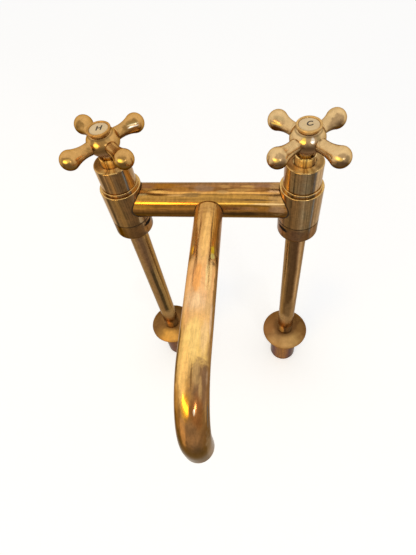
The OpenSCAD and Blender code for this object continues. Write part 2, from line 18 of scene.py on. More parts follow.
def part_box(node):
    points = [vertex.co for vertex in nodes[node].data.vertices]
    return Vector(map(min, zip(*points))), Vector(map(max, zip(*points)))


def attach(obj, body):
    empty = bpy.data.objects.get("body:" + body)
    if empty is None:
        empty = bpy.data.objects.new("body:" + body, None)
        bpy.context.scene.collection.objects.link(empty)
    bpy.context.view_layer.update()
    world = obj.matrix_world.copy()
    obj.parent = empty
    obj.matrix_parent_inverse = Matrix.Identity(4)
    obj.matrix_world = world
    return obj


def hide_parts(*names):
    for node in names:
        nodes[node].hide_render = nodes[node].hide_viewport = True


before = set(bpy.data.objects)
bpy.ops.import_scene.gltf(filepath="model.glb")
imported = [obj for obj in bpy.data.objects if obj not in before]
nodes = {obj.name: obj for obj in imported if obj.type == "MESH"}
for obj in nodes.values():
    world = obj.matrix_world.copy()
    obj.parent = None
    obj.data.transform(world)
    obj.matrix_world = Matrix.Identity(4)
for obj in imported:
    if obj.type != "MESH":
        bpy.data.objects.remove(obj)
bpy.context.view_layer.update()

# %% [markdown]
# ## Sizes that the finishes follow
#
# The finishes follow the tap's own shape: a streak runs up a column, a stain lies at a certain place
# along the spout. So they need a few of the tap's sizes. Most could be typed in, but it's safer to read
# them from the model, because then they stay right if a piece changes. Only the spout's route has to be
# repeated.

# %% Sizes of the tap
MM = 0.001
SIDES = {"hot": -1, "cold": 1}


def span(node):
    """The size of a node's box."""
    low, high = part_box(node)
    return high - low


def middle(node):
    """The middle of a node's box."""
    low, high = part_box(node)
    return (low + high) / 2


column_x = middle("cold_leg_nut").x
bridge_z = middle("bridge_tube").z
bridge_r = span("bridge_tube").y / 2
body_r = span("cold_leg_nut").x / 2
body_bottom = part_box("cold_leg_nut")[1].z
floor_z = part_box("cold_tail_shank")[0].z
spout_r = 11.7 * MM
spout_bend_r = 46 * MM
spout_bend_start = 140 * MM
spout_lean = math.radians(1.5)
spout_root_round = 3 * MM
spout_root_in = 0.5 * MM
print("Columns at x = +-%.1f mm, bridge axis at z = %.1f mm" % (column_x / MM, bridge_z / MM))

# %% [markdown]
# ## The camera
#
# A photograph fixes where its camera stood: how the two legs draw together towards the deck says how
# steeply it looked down, and the sizes of near and far parts say how close it was. The camera could be
# placed by eye, but its place here was worked out from the outlines. It looks down steeply from the right
# and is turned a little about its own axis.

# %% The photographer's camera
camera_data = bpy.data.cameras.new("camera")
camera = bpy.data.objects.new("camera", camera_data)
bpy.context.scene.collection.objects.link(camera)
bpy.context.scene.camera = camera

image_width, image_height = 416, 555
focal_pixels = 407.55
camera_data.sensor_width = 36
camera_data.lens = focal_pixels * camera_data.sensor_width / max(image_width, image_height)
camera_data.clip_start = 0.01

yaw, pitch, roll = math.radians(14.89), math.radians(56.16), math.radians(-10.61)
target = Vector((-14.37, 0, 118.52)) * MM
distance = 449.77 * MM
backward = Vector((math.sin(yaw) * math.cos(pitch), -math.cos(yaw) * math.cos(pitch), math.sin(pitch)))
right = Vector((math.cos(yaw), math.sin(yaw), 0))
right.rotate(Matrix.Rotation(roll, 3, backward))
up = backward.cross(right)
turn = Matrix((right, up, backward)).transposed().to_4x4()
camera.matrix_world = Matrix.Translation(target + distance * backward) @ turn
print("Camera at", [round(value, 3) for value in camera.location])

# %% [markdown]
# ## Nodes in few words
#
# A finish is a network of small nodes. They could be linked by hand one line at a time, but a few short
# helpers make a network read like a sentence: each helper adds one node, plugs in what it is given and
# hands back its result. An output knows which network it belongs to, so nobody has to say it.

# %% Node helpers
def is_output(value):
    """True for another node's output, False for a plain value."""
    return isinstance(value, bpy.types.NodeSocket)


def feed(socket, value):
    """Links an output to a socket, or sets the socket to a plain value."""
    if is_output(value):
        socket.id_data.links.new(value, socket)
    else:
        socket.default_value = value


def network(values):
    """The node tree that the first output among the values belongs to."""
    return next(value.id_data for value in values if is_output(value))


def put(kind, settings=None, **inputs):
    """Adds one node beside those that feed it. Each input takes a value or another node's output."""
    made = network(inputs.values()).nodes.new("ShaderNode" + kind)
    for key, value in (settings or {}).items():
        setattr(made, key, value)
    for key, value in inputs.items():
        feed(made.inputs[key.replace("_", " ")], value)
    return made


def calc(operation, *values, clamp=False):
    """One step of arithmetic."""
    made = network(values).nodes.new("ShaderNodeMath")
    made.operation = operation
    made.use_clamp = clamp
    for socket, value in zip(made.inputs, values):
        feed(socket, value)
    return made.outputs[0]


def plus(first, second):
    """The sum of two values."""
    return calc("ADD", first, second)


def minus(first, second):
    """The first value less the second."""
    return calc("SUBTRACT", first, second)


def times(first, second):
    """The product of two values."""
    return calc("MULTIPLY", first, second)


print("Numbers can be added, taken away and multiplied")

# %% [markdown]
# The next helpers are the words that the finishes are written in: steps and bumps along a value, cloudy
# noise, a run of colours, and one tint laid on another. Each is a few lines on top of the first ones.

# %% Words for the finishes
def blend(factor, first, second):
    """Mixes two colours. Factor 0 gives the first."""
    made = network((factor, first, second)).nodes.new("ShaderNodeMix")
    made.data_type = "RGBA"
    feed(made.inputs[0], factor)
    for index, colour in ((6, first), (7, second)):
        feed(made.inputs[index], colour if is_output(colour) else (*colour, 1))
    return made.outputs[2]


def laid(colour, tint, mask, most):
    """Lays a tint on a colour where the mask is 1, at most by so much."""
    return blend(times(mask, most), colour, tint)


def lerp(factor, low, high):
    """A number that goes from low to high as factor goes from 0 to 1."""
    return put("MapRange", Value=factor, To_Min=low, To_Max=high).outputs["Result"]


def rise(value, low, high):
    """0 up to low, 1 from high on, and a smooth step between. Low may be above high."""
    smooth = {"interpolation_type": "SMOOTHSTEP"}
    return put("MapRange", smooth, Value=value, From_Min=low, From_Max=high).outputs["Result"]


def bump_at(value, centre, half_width):
    """1 at the centre, falling smoothly to 0 at half_width on either side."""
    return rise(calc("ABSOLUTE", minus(value, centre)), half_width, 0.0)


def with_vector(operation, vector, fixed):
    """One step of vector arithmetic with a fixed second vector."""
    made = put("VectorMath", {"operation": operation}, Vector=vector)
    made.inputs[1].default_value = fixed
    return made.outputs


def stretched(place, factors):
    """Object coordinates with each axis scaled by its own factor."""
    return with_vector("MULTIPLY", place, factors)["Vector"]


def facing(normal, direction):
    """How far the surface faces a direction, from -1 to 1."""
    return with_vector("DOT_PRODUCT", normal, Vector(direction).normalized())["Value"]


def noise(place, scale, detail=3.0, roughness=0.5, distortion=0.0):
    """Cloudy noise with values round 0.5."""
    made = put("TexNoise", Vector=place, Scale=scale, Detail=detail, Roughness=roughness,
               Distortion=distortion)
    return made.outputs["Fac"]


def colours(value, stops):
    """A run of colours along a value. Stops are pairs of a place and a colour."""
    made = put("ValToRGB", Fac=value)
    ramp = made.color_ramp
    while len(ramp.elements) < len(stops):
        ramp.elements.new(0.5)
    for element, (place, colour) in zip(ramp.elements, stops):
        element.position = place
        element.color = (*colour, 1)
    return made.outputs["Color"]


def vary(colour, value, amount):
    """A colour made lighter and darker by a value round 0.5."""
    factor = calc("MULTIPLY_ADD", value, amount, 1 - amount / 2)
    return put("HueSaturation", Color=colour, Value=factor).outputs["Color"]


def parts_of(material):
    """A material's shader, its object coordinates and its normal."""
    made = material.node_tree.nodes
    where = made["Texture Coordinate"].outputs
    return made["Principled BSDF"], where["Object"], where["Normal"]


def new_material(name, **settings):
    """A material and its parts. The settings are constants on its shader."""
    material = bpy.data.materials.new(name)
    material.use_nodes = True
    material.node_tree.nodes.new("ShaderNodeTexCoord")
    shader, place, normal = parts_of(material)
    for key, value in settings.items():
        shader.inputs[key.replace("_", " ")].default_value = value
    return material, shader, place, normal


print("Helpers ready")

# %% [markdown]
# ## A plain white studio
#
# Polished metal shows the room more than itself. A white room makes brass read as brass, and a few
# brighter windows give the sparks on its round ends. The world is white to the eye and to reflections,
# but lights the tap more softly, so that pale colours don't burn out. The floor lies under the shanks'
# feet, because the tap isn't fitted in its deck.

# %% World and floor
SOFT_LIGHT = 0.55
FLOOR_GLOW = 0.5
FLOOR_SIZE = 12
FLOOR_GAP = 0.2 * MM


def seen_or_mirrored(tree):
    """1 where a ray comes from the camera, a reflection or a see-through surface."""
    path = tree.nodes.new("ShaderNodeLightPath").outputs
    seen = calc("MAXIMUM", path["Is Camera Ray"], path["Is Glossy Ray"])
    return calc("MAXIMUM", seen, path["Is Transmission Ray"])


scene = bpy.context.scene
scene.view_settings.view_transform = "Standard"
world = bpy.data.worlds.new("white_room")
scene.world = world
world.use_nodes = True
background = world.node_tree.nodes["Background"]
background.inputs["Color"].default_value = (1, 1, 1, 1)
feed(background.inputs["Strength"], lerp(seen_or_mirrored(world.node_tree), SOFT_LIGHT, 1.0))

bpy.ops.object.select_all(action="DESELECT")
bpy.ops.mesh.primitive_plane_add(size=FLOOR_SIZE, location=(0, 0, floor_z - FLOOR_GAP))
floor = bpy.context.object
floor.name = "floor"
floor_paint, paint, _, _ = new_material("floor_paint", Base_Color=(0.8, 0.8, 0.8, 1), Roughness=0.9,
                                        Specular_IOR_Level=0.0, Emission_Color=(1, 1, 1, 1))
feed(paint.inputs["Emission Strength"], lerp(seen_or_mirrored(floor_paint.node_tree), 0.0, FLOOR_GLOW))
floor.data.materials.append(floor_paint)
print("Floor at z = %.1f mm" % (floor.location.z / MM))

# %% [markdown]
# ## Lamps
#
# Each round bulb of the handles shows two sparks, a deep yellow one on the left and a white one on the
# right, and the bridge shows one bright line along its left half. They are two low windows in front of the
# tap, a warm one and a cool one, and their directions follow from where the sparks lie. An area lamp shows
# in reflections at its real size, so a lamp of nearly a metre looks like a window.

# %% Lamps
WINDOW_AIM = Vector((0, 0, 0.28))


def window(name, azimuth, elevation, distance, width, height, radiance, colour):
    """A rectangular lamp that faces the tap. Azimuth 0 is in front of it, and grows to the right."""
    data = bpy.data.lights.new(name, "AREA")
    data.shape = "RECTANGLE"
    data.size = width
    data.size_y = height
    data.energy = radiance * math.pi * width * height
    data.color = colour
    lamp = bpy.data.objects.new(name, data)
    bpy.context.scene.collection.objects.link(lamp)
    a, e = math.radians(azimuth), math.radians(elevation)
    towards = Vector((math.sin(a) * math.cos(e), -math.cos(a) * math.cos(e), math.sin(e)))
    lamp.location = WINDOW_AIM + towards * distance
    lamp.rotation_euler = towards.to_track_quat("Z", "Y").to_euler()
    lamp.visible_camera = False


window("left_window", azimuth=-31, elevation=20, distance=1.5, width=0.85, height=0.28, radiance=8.0,
       colour=(1.0, 0.7, 0.2))
window("right_window", azimuth=30, elevation=20, distance=1.5, width=0.22, height=0.08, radiance=36.0,
       colour=(0.9, 0.95, 1.0))
print("Two lamps placed")

# %% [markdown]
# ## Effects that the finishes share
#
# Every brass part of the tap has the same few effects at other strengths: cloudy tarnish, streaks along
# the way it was polished, and fine scratches. Each effect is a node group, built once. A group puts out
# only values and colours. The metal itself stays in the material.
#
# The first group is cloudy tarnish. It could be painted by hand, but noise at two sizes, one inside the
# other, gives the same drifting edges that wet hands and cleaning leave.

# %% Shared effect: cloudy tarnish
def new_group(name, inputs, outputs):
    """An empty node group with named inputs and outputs, what enters it and what leaves it."""
    tree = bpy.data.node_groups.new(name, "ShaderNodeTree")
    for label, kind, value in inputs:
        socket = tree.interface.new_socket(label, in_out="INPUT", socket_type="NodeSocket" + kind)
        if value is not None:
            socket.default_value = value
    for label in outputs:
        tree.interface.new_socket(label, in_out="OUTPUT", socket_type="NodeSocketFloat")
    return tree, tree.nodes.new("NodeGroupInput").outputs, tree.nodes.new("NodeGroupOutput").inputs


def use_group(group, **inputs):
    """Places a node group in a material, sets its inputs and hands back its outputs."""
    return put("Group", {"node_tree": group}, **inputs).outputs


cloud_group, start, end = new_group(
    "cloudy_tarnish",
    [("Place", "Vector", None), ("Size", "Float", 40.0), ("Cover", "Float", 0.5), ("Edge", "Float", 0.12)],
    ["Mask", "Fine"])
large = noise(start["Place"], start["Size"], detail=5.0, roughness=0.6, distortion=0.4)
fine = noise(start["Place"], times(start["Size"], 9.0), detail=3.0, roughness=0.6)
lowest = minus(1.06, start["Cover"])
frayed_large = calc("MULTIPLY_ADD", fine, 0.12, large)
feed(end["Mask"], rise(frayed_large, minus(lowest, start["Edge"]), plus(lowest, start["Edge"])))
feed(end["Fine"], fine)


def clouded(colour, place, size, cover, edge, tint, most):
    """Lays drifting clouds of a tint on a colour."""
    clouds = use_group(cloud_group, Place=place, Size=size, Cover=cover, Edge=edge)
    return laid(colour, tint, clouds["Mask"], most)


print("Group", cloud_group.name)

# %% [markdown]
# Streaks are noise that is squeezed across the polishing direction and drawn out along it. The group gets
# its place already stretched, so the same group serves the upright columns and the level tubes.

# %% Shared effect: streaks along the polish
streak_group, start, end = new_group(
    "polish_streaks", [("Place", "Vector", None), ("Size", "Float", 1.0)], ["Broad", "Thin"])
broad_noise = noise(start["Place"], start["Size"], detail=2.0, roughness=0.5, distortion=0.2)
thin_noise = noise(start["Place"], times(start["Size"], 5.0), detail=4.0, roughness=0.65)
feed(end["Broad"], rise(broad_noise, 0.38, 0.62))
feed(end["Thin"], rise(thin_noise, 0.35, 0.65))


def streaked(colour, place, broad, thin):
    """A colour with so much of broad and thin streaks. Place is already stretched."""
    streaks = use_group(streak_group, Place=place, Size=1.0)
    return vary(vary(colour, streaks["Broad"], broad), streaks["Thin"], thin)


print("Group", streak_group.name)

# %% [markdown]
# Years of cloths and grit leave hairline scratches and shallow waves. The waves matter most: they bend
# every reflection a little, which tells the eye that the tube is old and was polished by hand.

# %% Shared effect: scratches and waves
SCRATCH_SHARE = 0.02
relief_group, start, end = new_group(
    "hand_polish", [("Place", "Vector", None), ("Waves", "Float", 1.0), ("Grit", "Float", 1.0)],
    ["Height", "Dull"])
waves = noise(start["Place"], 55.0, detail=2.0, roughness=0.4)
grit = noise(start["Place"], 900.0, detail=4.0, roughness=0.7, distortion=0.6)
scratches = times(start["Grit"], SCRATCH_SHARE)
feed(end["Height"], calc("MULTIPLY_ADD", grit, scratches, times(waves, start["Waves"])))
feed(end["Dull"], rise(grit, 0.45, 0.75))
print("Group", relief_group.name)

# %% [markdown]
# ## How brass ages, and painted shade
#
# On this tap, what faces up is painted lighter, upright sides browner and undersides darkest, a painted
# shade. So the main colour follows how far up a surface faces, which is the third part of its normal.
# Clouds and streaks then break that up. In corners that no cloth reaches, the metal also lies under a
# matt oxide. A mirror there would show its neighbours in deep red, because their colour is taken twice.

# %% One recipe for all the aged brass
UP = (0, 0, 1)


def metal(name, edge=(0.75, 0.65, 0.55)):
    """A metal material and its parts. Edge tints it at a glancing view."""
    return new_material(name, Metallic=1.0, Specular_IOR_Level=0.2, Specular_Tint=(*edge, 1))


def finish_metal(shader, place, colour, roughness, waves=0.6, grit=1.0, depth=0.12, dull=0.08, matt=None):
    """Plugs the colour in and adds the roughness and relief of hand-polished metal. Matt is a mask."""
    relief = use_group(relief_group, Place=place, Waves=waves, Grit=grit)
    rough = calc("MULTIPLY_ADD", relief["Dull"], dull, roughness)
    if matt is not None:
        rough = calc("MAXIMUM", rough, matt)
    raised = put("Bump", Strength=depth, Distance=1 * MM, Height=relief["Height"])
    feed(shader.inputs["Base Color"], colour)
    feed(shader.inputs["Roughness"], rough)
    feed(shader.inputs["Normal"], raised.outputs["Normal"])


def tarnish(shader, mask, most):
    """Lets a matt oxide cover the metal, at most by so much where the mask is 1."""
    bare = calc("MULTIPLY_ADD", mask, -most, 1.0)
    metallic = shader.inputs["Metallic"]
    if metallic.is_linked:
        bare = calc("MINIMUM", bare, metallic.links[0].from_socket)
    feed(metallic, bare)


def shaded_by_facing(place, normal, under, side, top, wander, size):
    """Brass whose colour runs from under through side to top, with drifting edges: a painted shade."""
    drift = times(minus(noise(place, size, 4.0, 0.6, 0.3), 0.5), wander)
    # How far up the surface faces picks its painted shade.
    upward = calc("MULTIPLY_ADD", plus(facing(normal, UP), drift), 0.5, 0.5, clamp=True)
    return colours(upward, [(0.0, under), (0.45, side), (0.85, top), (1.0, top)])


def mottled(place, colour, size, amount):
    """Fine light and dark flecks."""
    flecks = noise(place, size, 5.0, 0.7, 0.8)
    return vary(colour, rise(flecks, 0.3, 0.7), amount)


print("Recipe ready")

# %% [markdown]
# Some marks are single stains with a place of their own: a drip, a bright scrape, a patch of heat colour.
# The same ellipses also lay painted highlights, painted reflections and painted shade.
# They could be painted on an image, but that image would belong to one mesh. Here each stain is an ellipse
# in two numbers that follow the surface, such as how far along a tube and how far round it, and noise
# frays its edge, so it looks like a mark that grew there.

# %% Stains and painted reflections with a place of their own
PATCH_EDGE = 0.35


def patch(along, around, centre, size, wobble):
    """1 inside a stain that lies round a centre."""
    far = calc("DIVIDE", minus(along, centre[0]), size[0])
    aside = calc("DIVIDE", minus(around, centre[1]), size[1])
    away = calc("SQRT", plus(times(far, far), times(aside, aside)))
    return rise(plus(away, wobble), 1 + PATCH_EDGE, 1 - PATCH_EDGE)


def laid_stains_and_reflections(colour, along, around, wobble, stains_and_reflections):
    """Lays stain and painted reflection on a colour. Each is a centre, a size, a tint and how much shows.
    """
    for centre, size, tint, amount in stains_and_reflections:
        colour = laid(colour, tint, patch(along, around, centre, size, wobble), amount)
    return colour


def frayed(place, scale, amount):
    """Noise round 0 that frays the edges of stains and bends bands."""
    return times(minus(noise(place, scale, 5.0, 0.65, 0.5), 0.5), amount)


print("Stains ready")

# %% [markdown]
# ## The columns: valve bodies, leg nuts and bonnets
#
# They are turned upright, so their polish runs round and up, and light and dark streaks stand on them
# like organ pipes, partly old polish and partly a painted reflection of the room. A plain brown would
# look like plastic. Streaks placed by their angle round the column give the broad bands, and squeezed
# noise gives the thin lines between them. Upward faces take a colour of their own, on bodies and bonnets
# a lighter gold, a painted highlight on the rims. Two marks sit at the foot of each body: the dark seam
# of its leg nut, and below it a short black, matt patch on the inner side.

# %% Column brass
PIPE_DRIFT = 0.012
# Where the black, matt patch lies on the inner side of each leg nut, below its seam.
DARK_PATCH_ANGLES = {"hot": 71, "cold": -50}
DARK_PATCH_BELOW_SEAM = 4.9
DARK_PATCH_SIZE = (18, 2.2)


def round_column(place, side):
    """The angle round a column's axis in degrees, and the height and distance from it in millimetres."""
    parts = put("SeparateXYZ", Vector=place).outputs
    x = minus(parts["X"], SIDES[side] * column_x)
    y = times(parts["Y"], -1.0)
    away = calc("SQRT", plus(times(x, x), times(y, y)))
    angle = calc("DEGREES", calc("ARCTAN2", x, y))
    return angle, times(parts["Z"], 1 / MM), times(away, 1 / MM)


def banded(angle, bands):
    """Colours by the angle in degrees. Bands are pairs of an angle and a colour."""
    share = calc("MULTIPLY_ADD", angle, 1 / 360, 0.5)
    return colours(share, [(0.5 + turned / 360, tint) for turned, tint in bands])


def organ_pipes(angle, height, colour, width, amount):
    """Upright light and dark streaks, each about so many degrees wide."""
    across = put("CombineXYZ", X=calc("DIVIDE", angle, width), Y=times(height, PIPE_DRIFT))
    pipes = noise(across.outputs["Vector"], 1.0, 3.0, 0.6, 0.15)
    return vary(colour, rise(pipes, 0.34, 0.66), amount)


def column_brass(name, side, bands, stains_and_reflections, top, foot=None, edge=(0.8, 0.68, 0.55)):
    """Streaked brass for an upright turned piece. Bands go by angle, stain and painted reflection by angle
    and height.
    """
    material, shader, place, normal = metal(name, edge)
    angle, height, _ = round_column(place, side)
    angle = plus(angle, frayed(stretched(place, (60, 60, 20)), scale=1.0, amount=5.0))
    # Bands by angle, partly a painted reflection of the room.
    colour = banded(angle, bands)
    # Upright streaks, partly polish and partly a painted reflection.
    colour = organ_pipes(angle, height, colour, width=12.0, amount=0.45)
    colour = organ_pipes(angle, height, colour, width=3.0, amount=0.55)
    wobble = frayed(place, scale=260.0, amount=0.9)
    # Stains and painted reflections, by angle and height.
    colour = laid_stains_and_reflections(colour, angle, height, wobble, stains_and_reflections)
    colour = clouded(colour, place, size=70.0, cover=0.5, edge=0.1, tint=(0.24, 0.11, 0.035), most=0.22)
    # Upward faces take the top colour, a painted highlight on the rims of bodies and bonnets.
    colour = blend(rise(facing(normal, UP), 0.3, 0.8), colour, top)
    dark_patch = None
    if foot is not None:
        colour = laid(colour, (0.035, 0.02, 0.01), bump_at(height, foot, 1.3), 0.95)
        # A black, matt patch on the inner side, a little below the seam.
        dark_patch = patch(angle, height, (DARK_PATCH_ANGLES[side], foot - DARK_PATCH_BELOW_SEAM), DARK_PATCH_SIZE, wobble)
        colour = blend(dark_patch, colour, (0.012, 0.007, 0.004))
        tarnish(shader, dark_patch, most=1.0)
    colour = mottled(place, colour, size=420.0, amount=0.35)
    finish_metal(shader, place, colour, roughness=0.15, waves=0.5, depth=0.09, matt=dark_patch)
    inwards = facing(normal, (-SIDES[side], 0, 0))
    tarnish(shader, rise(inwards, 0.6, 0.82), most=0.55)
    return material


print("The gap lies at", DARK_PATCH_ANGLES, "degrees")

# %% [markdown]
# The bands say what colour the polish shows at each angle, with 0 in front and growing to the right. One
# noise could serve all columns, but each has its own past, so the bands are set one by one. Here
# and in all lists of bands and stains below, a tint starts from the photograph's colour at that place, read
# there or estimated, and was corrected until the render's mean colour there came near it. Dark and pale
# bands stand side by side, as on any polished round thing in a room: part of them is what the real room
# mirrors there, and here it is fixed to the piece.

# %% Colours of valve bodies and leg nuts
DEEP_BROWN = (0.12, 0.065, 0.024)
BLACK_BROWN = (0.035, 0.022, 0.012)
BODY_BROWN = (0.17, 0.095, 0.035)
OLIVE_GREY = (0.2, 0.15, 0.085)
BLUE_GREY = (0.115, 0.125, 0.12)
# A painted highlight on the rims of the valve bodies.
RIM_HIGHLIGHT_GOLD = (0.66, 0.4, 0.13)
SEAM_Z = body_bottom / MM
BODY_BANDS = {
    "hot": [
        (-180, BODY_BROWN), (-110, OLIVE_GREY), (-58, (0.44, 0.3, 0.17)), (-32, (0.36, 0.22, 0.11)),
        (-28, BLACK_BROWN), (-21, (0.03, 0.018, 0.009)), (-17, BODY_BROWN), (-8, (0.16, 0.085, 0.027)),
        (-2, (0.21, 0.11, 0.03)), (7, (0.13, 0.07, 0.023)), (20, (0.085, 0.045, 0.017)),
        (44, (0.085, 0.045, 0.017)), (52, (0.34, 0.21, 0.09)), (62, (0.18, 0.08, 0.02)),
        (78, (0.36, 0.16, 0.03)), (110, BODY_BROWN), (180, BODY_BROWN)],
    "cold": [
        (-180, BODY_BROWN), (-100, (0.34, 0.16, 0.04)), (-62, (0.32, 0.15, 0.05)),
        (-40, (0.15, 0.08, 0.027)), (-30, (0.1, 0.055, 0.02)), (-27, (0.06, 0.034, 0.014)),
        (-24, (0.13, 0.066, 0.022)), (-9, (0.14, 0.075, 0.027)), (-2, (0.16, 0.095, 0.042)),
        (5, (0.2, 0.14, 0.072)), (14, (0.15, 0.095, 0.043)), (26, (0.12, 0.075, 0.034)),
        (31, (0.16, 0.155, 0.135)), (35, (0.19, 0.11, 0.05)), (42, (0.31, 0.195, 0.098)),
        (75, (0.35, 0.23, 0.125)), (110, OLIVE_GREY), (180, BODY_BROWN)],
}
# Stains and painted reflections, with a painted highlight high on the cold body.
BODY_STAINS_AND_REFLECTIONS = {
    "hot": [
        ((8, SEAM_Z - 10), (62, 9), (0.085, 0.04, 0.014), 0.75),
        ((70, SEAM_Z - 9), (20, 6), (0.42, 0.18, 0.03), 0.8),
        ((48, SEAM_Z + 5), (5, 5), (0.42, 0.29, 0.15), 0.8)],
    "cold": [
        ((-3, SEAM_Z - 10), (40, 9), (0.075, 0.036, 0.02), 0.8),
        ((48, SEAM_Z - 8), (14, 9), (0.28, 0.15, 0.085), 0.8),
        ((-62, SEAM_Z - 9), (20, 4), (0.34, 0.13, 0.035), 0.8),
        ((-62, SEAM_Z + 31), (10, 4), (0.8, 0.4, 0.08), 0.9)],
}
column_material = {
    side: column_brass(side + "_column_brass", side, BODY_BANDS[side], BODY_STAINS_AND_REFLECTIONS[side], RIM_HIGHLIGHT_GOLD, SEAM_Z)
    for side in SIDES
}
nut_material = {
    side: column_brass(side + "_nut_brass", side, BODY_BANDS[side], BODY_STAINS_AND_REFLECTIONS[side], BODY_BROWN, SEAM_Z,
                       (0.48, 0.42, 0.36))
    for side in SIDES
}
print("Column brass for", list(column_material))

# %% [markdown]
# A bonnet has the same streaks with other colours. Its flat top carries the rings of the turning tool, and
# it mirrors the handle above it in light and dark sectors, which go by angle too, as a painted reflection.
# The narrow gap round the gland nut gets a painted shade: a dark ring at that distance from the axis.

# %% Bonnet brass
gland_r = span("cold_gland_nut").x / MM / 2
top_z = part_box("cold_bonnet")[1].z / MM
FLAT_TOP_R = 14.75
BONNET_BANDS = {
    "hot": [
        (-180, BODY_BROWN), (-110, OLIVE_GREY), (-60, (0.52, 0.36, 0.2)), (-36, (0.47, 0.31, 0.17)),
        (-31, (0.05, 0.03, 0.015)), (-22, (0.05, 0.029, 0.014)), (-14, (0.22, 0.12, 0.045)),
        (-7, (0.12, 0.065, 0.024)), (1, (0.27, 0.13, 0.036)), (8, (0.2, 0.1, 0.03)),
        (13, (0.1, 0.058, 0.025)), (28, (0.1, 0.052, 0.02)), (43, (0.11, 0.058, 0.02)), (47, BLUE_GREY),
        (51, (0.13, 0.085, 0.045)), (55, (0.55, 0.27, 0.06)), (66, (0.7, 0.33, 0.05)),
        (74, (0.42, 0.2, 0.05)), (84, (0.6, 0.35, 0.12)), (120, BODY_BROWN), (180, BODY_BROWN)],
    "cold": [
        (-180, BODY_BROWN), (-110, (0.34, 0.16, 0.05)), (-68, (0.38, 0.17, 0.045)),
        (-58, (0.48, 0.25, 0.06)), (-52, (0.66, 0.36, 0.06)), (-47, (0.46, 0.24, 0.06)),
        (-43, (0.22, 0.12, 0.04)), (-32, (0.15, 0.09, 0.035)), (-29, (0.035, 0.021, 0.01)),
        (-25, (0.13, 0.078, 0.03)), (-8, (0.14, 0.088, 0.042)), (2, (0.16, 0.115, 0.062)),
        (12, (0.12, 0.092, 0.05)), (27, (0.07, 0.052, 0.028)), (31, (0.085, 0.09, 0.088)),
        (35, (0.085, 0.085, 0.075)), (39, (0.48, 0.32, 0.17)), (62, (0.52, 0.37, 0.22)),
        (100, OLIVE_GREY), (180, BODY_BROWN)],
}
# Sectors of the handle's painted reflection on a bonnet's flat top.
RING_BANDS = [
    (-180, (0.4, 0.19, 0.045)), (-62, (0.42, 0.2, 0.05)), (-34, (0.7, 0.38, 0.11)),
    (-22, (1.0, 0.64, 0.22)), (-10, (0.95, 0.58, 0.18)), (-4, (0.36, 0.17, 0.045)), (1, (1.0, 0.6, 0.17)),
    (6, (0.45, 0.22, 0.06)), (11, (1.0, 0.66, 0.22)), (18, (1.0, 0.7, 0.26)), (25, (0.55, 0.32, 0.1)),
    (38, (1.0, 0.7, 0.3)), (52, (0.62, 0.38, 0.15)), (75, (0.86, 0.55, 0.21)), (180, (0.6, 0.35, 0.12))]


def bonnet_brass(side):
    """Column brass with rings and sectors on its flat top."""
    material = column_brass(side + "_bonnet_brass", side, BONNET_BANDS[side], [], (0.6, 0.36, 0.12))
    shader, place, normal = parts_of(material)
    colour = shader.inputs["Base Color"].links[0].from_socket
    angle, height, away = round_column(place, side)
    upward = rise(facing(normal, UP), 0.8, 0.95)
    inside = times(rise(away, FLAT_TOP_R - 0.3, FLAT_TOP_R - 0.8), rise(height, top_z - 2, top_z - 1))
    # Light and dark sectors on the flat top: a painted reflection of the handle above.
    colour = blend(inside, colour, banded(angle, RING_BANDS))
    tarnish(shader, inside, most=0.75)
    rings = noise(put("CombineXYZ", X=times(away, 1.3)).outputs["Vector"], 1.0)
    colour = blend(upward, colour, vary(colour, rise(rings, 0.35, 0.65), 0.6))
    # A painted shade in the narrow gap round the gland nut.
    gap_shade = times(bump_at(away, gland_r + 0.3, 1.0), upward)
    feed(shader.inputs["Base Color"], laid(colour, (0.03, 0.018, 0.008), gap_shade, 0.95))
    return material


bonnet_material = {side: bonnet_brass(side) for side in SIDES}
print("Bonnet brass round a gland of %.1f mm" % (2 * gland_r))

# %% [markdown]
# ## The bridge tube
#
# The bridge lies level, so its marks run along it. Its back and top are coppery brown, then a pale line,
# an olive gold band along the front of the top, and dark brown below: painted reflections of the room,
# with a painted shade below. Those bands follow the angle round the tube. Wiping never goes quite
# straight, so noise along the tube bends every band a little.

# %% Colours of the bridge
BRIDGE_BANDS = [
    (-180, (0.16, 0.07, 0.025)), (-45, (0.12, 0.055, 0.02)), (-24, (0.1, 0.043, 0.014)),
    (-16, (0.075, 0.033, 0.011)), (-8, (0.066, 0.031, 0.011)), (-1, (0.105, 0.046, 0.012)),
    (9, (0.19, 0.084, 0.018)), (22, (0.33, 0.14, 0.024)), (28, (0.22, 0.1, 0.016)),
    (38, (0.27, 0.135, 0.02)), (43, (0.39, 0.195, 0.042)), (58, (0.42, 0.215, 0.046)),
    (63, (0.27, 0.13, 0.025)), (67, (0.7, 0.35, 0.09)), (70, (0.64, 0.31, 0.07)),
    (74, (0.31, 0.13, 0.03)), (98, (0.31, 0.14, 0.045)), (120, (0.3, 0.16, 0.08)),
    (180, (0.16, 0.07, 0.025))]
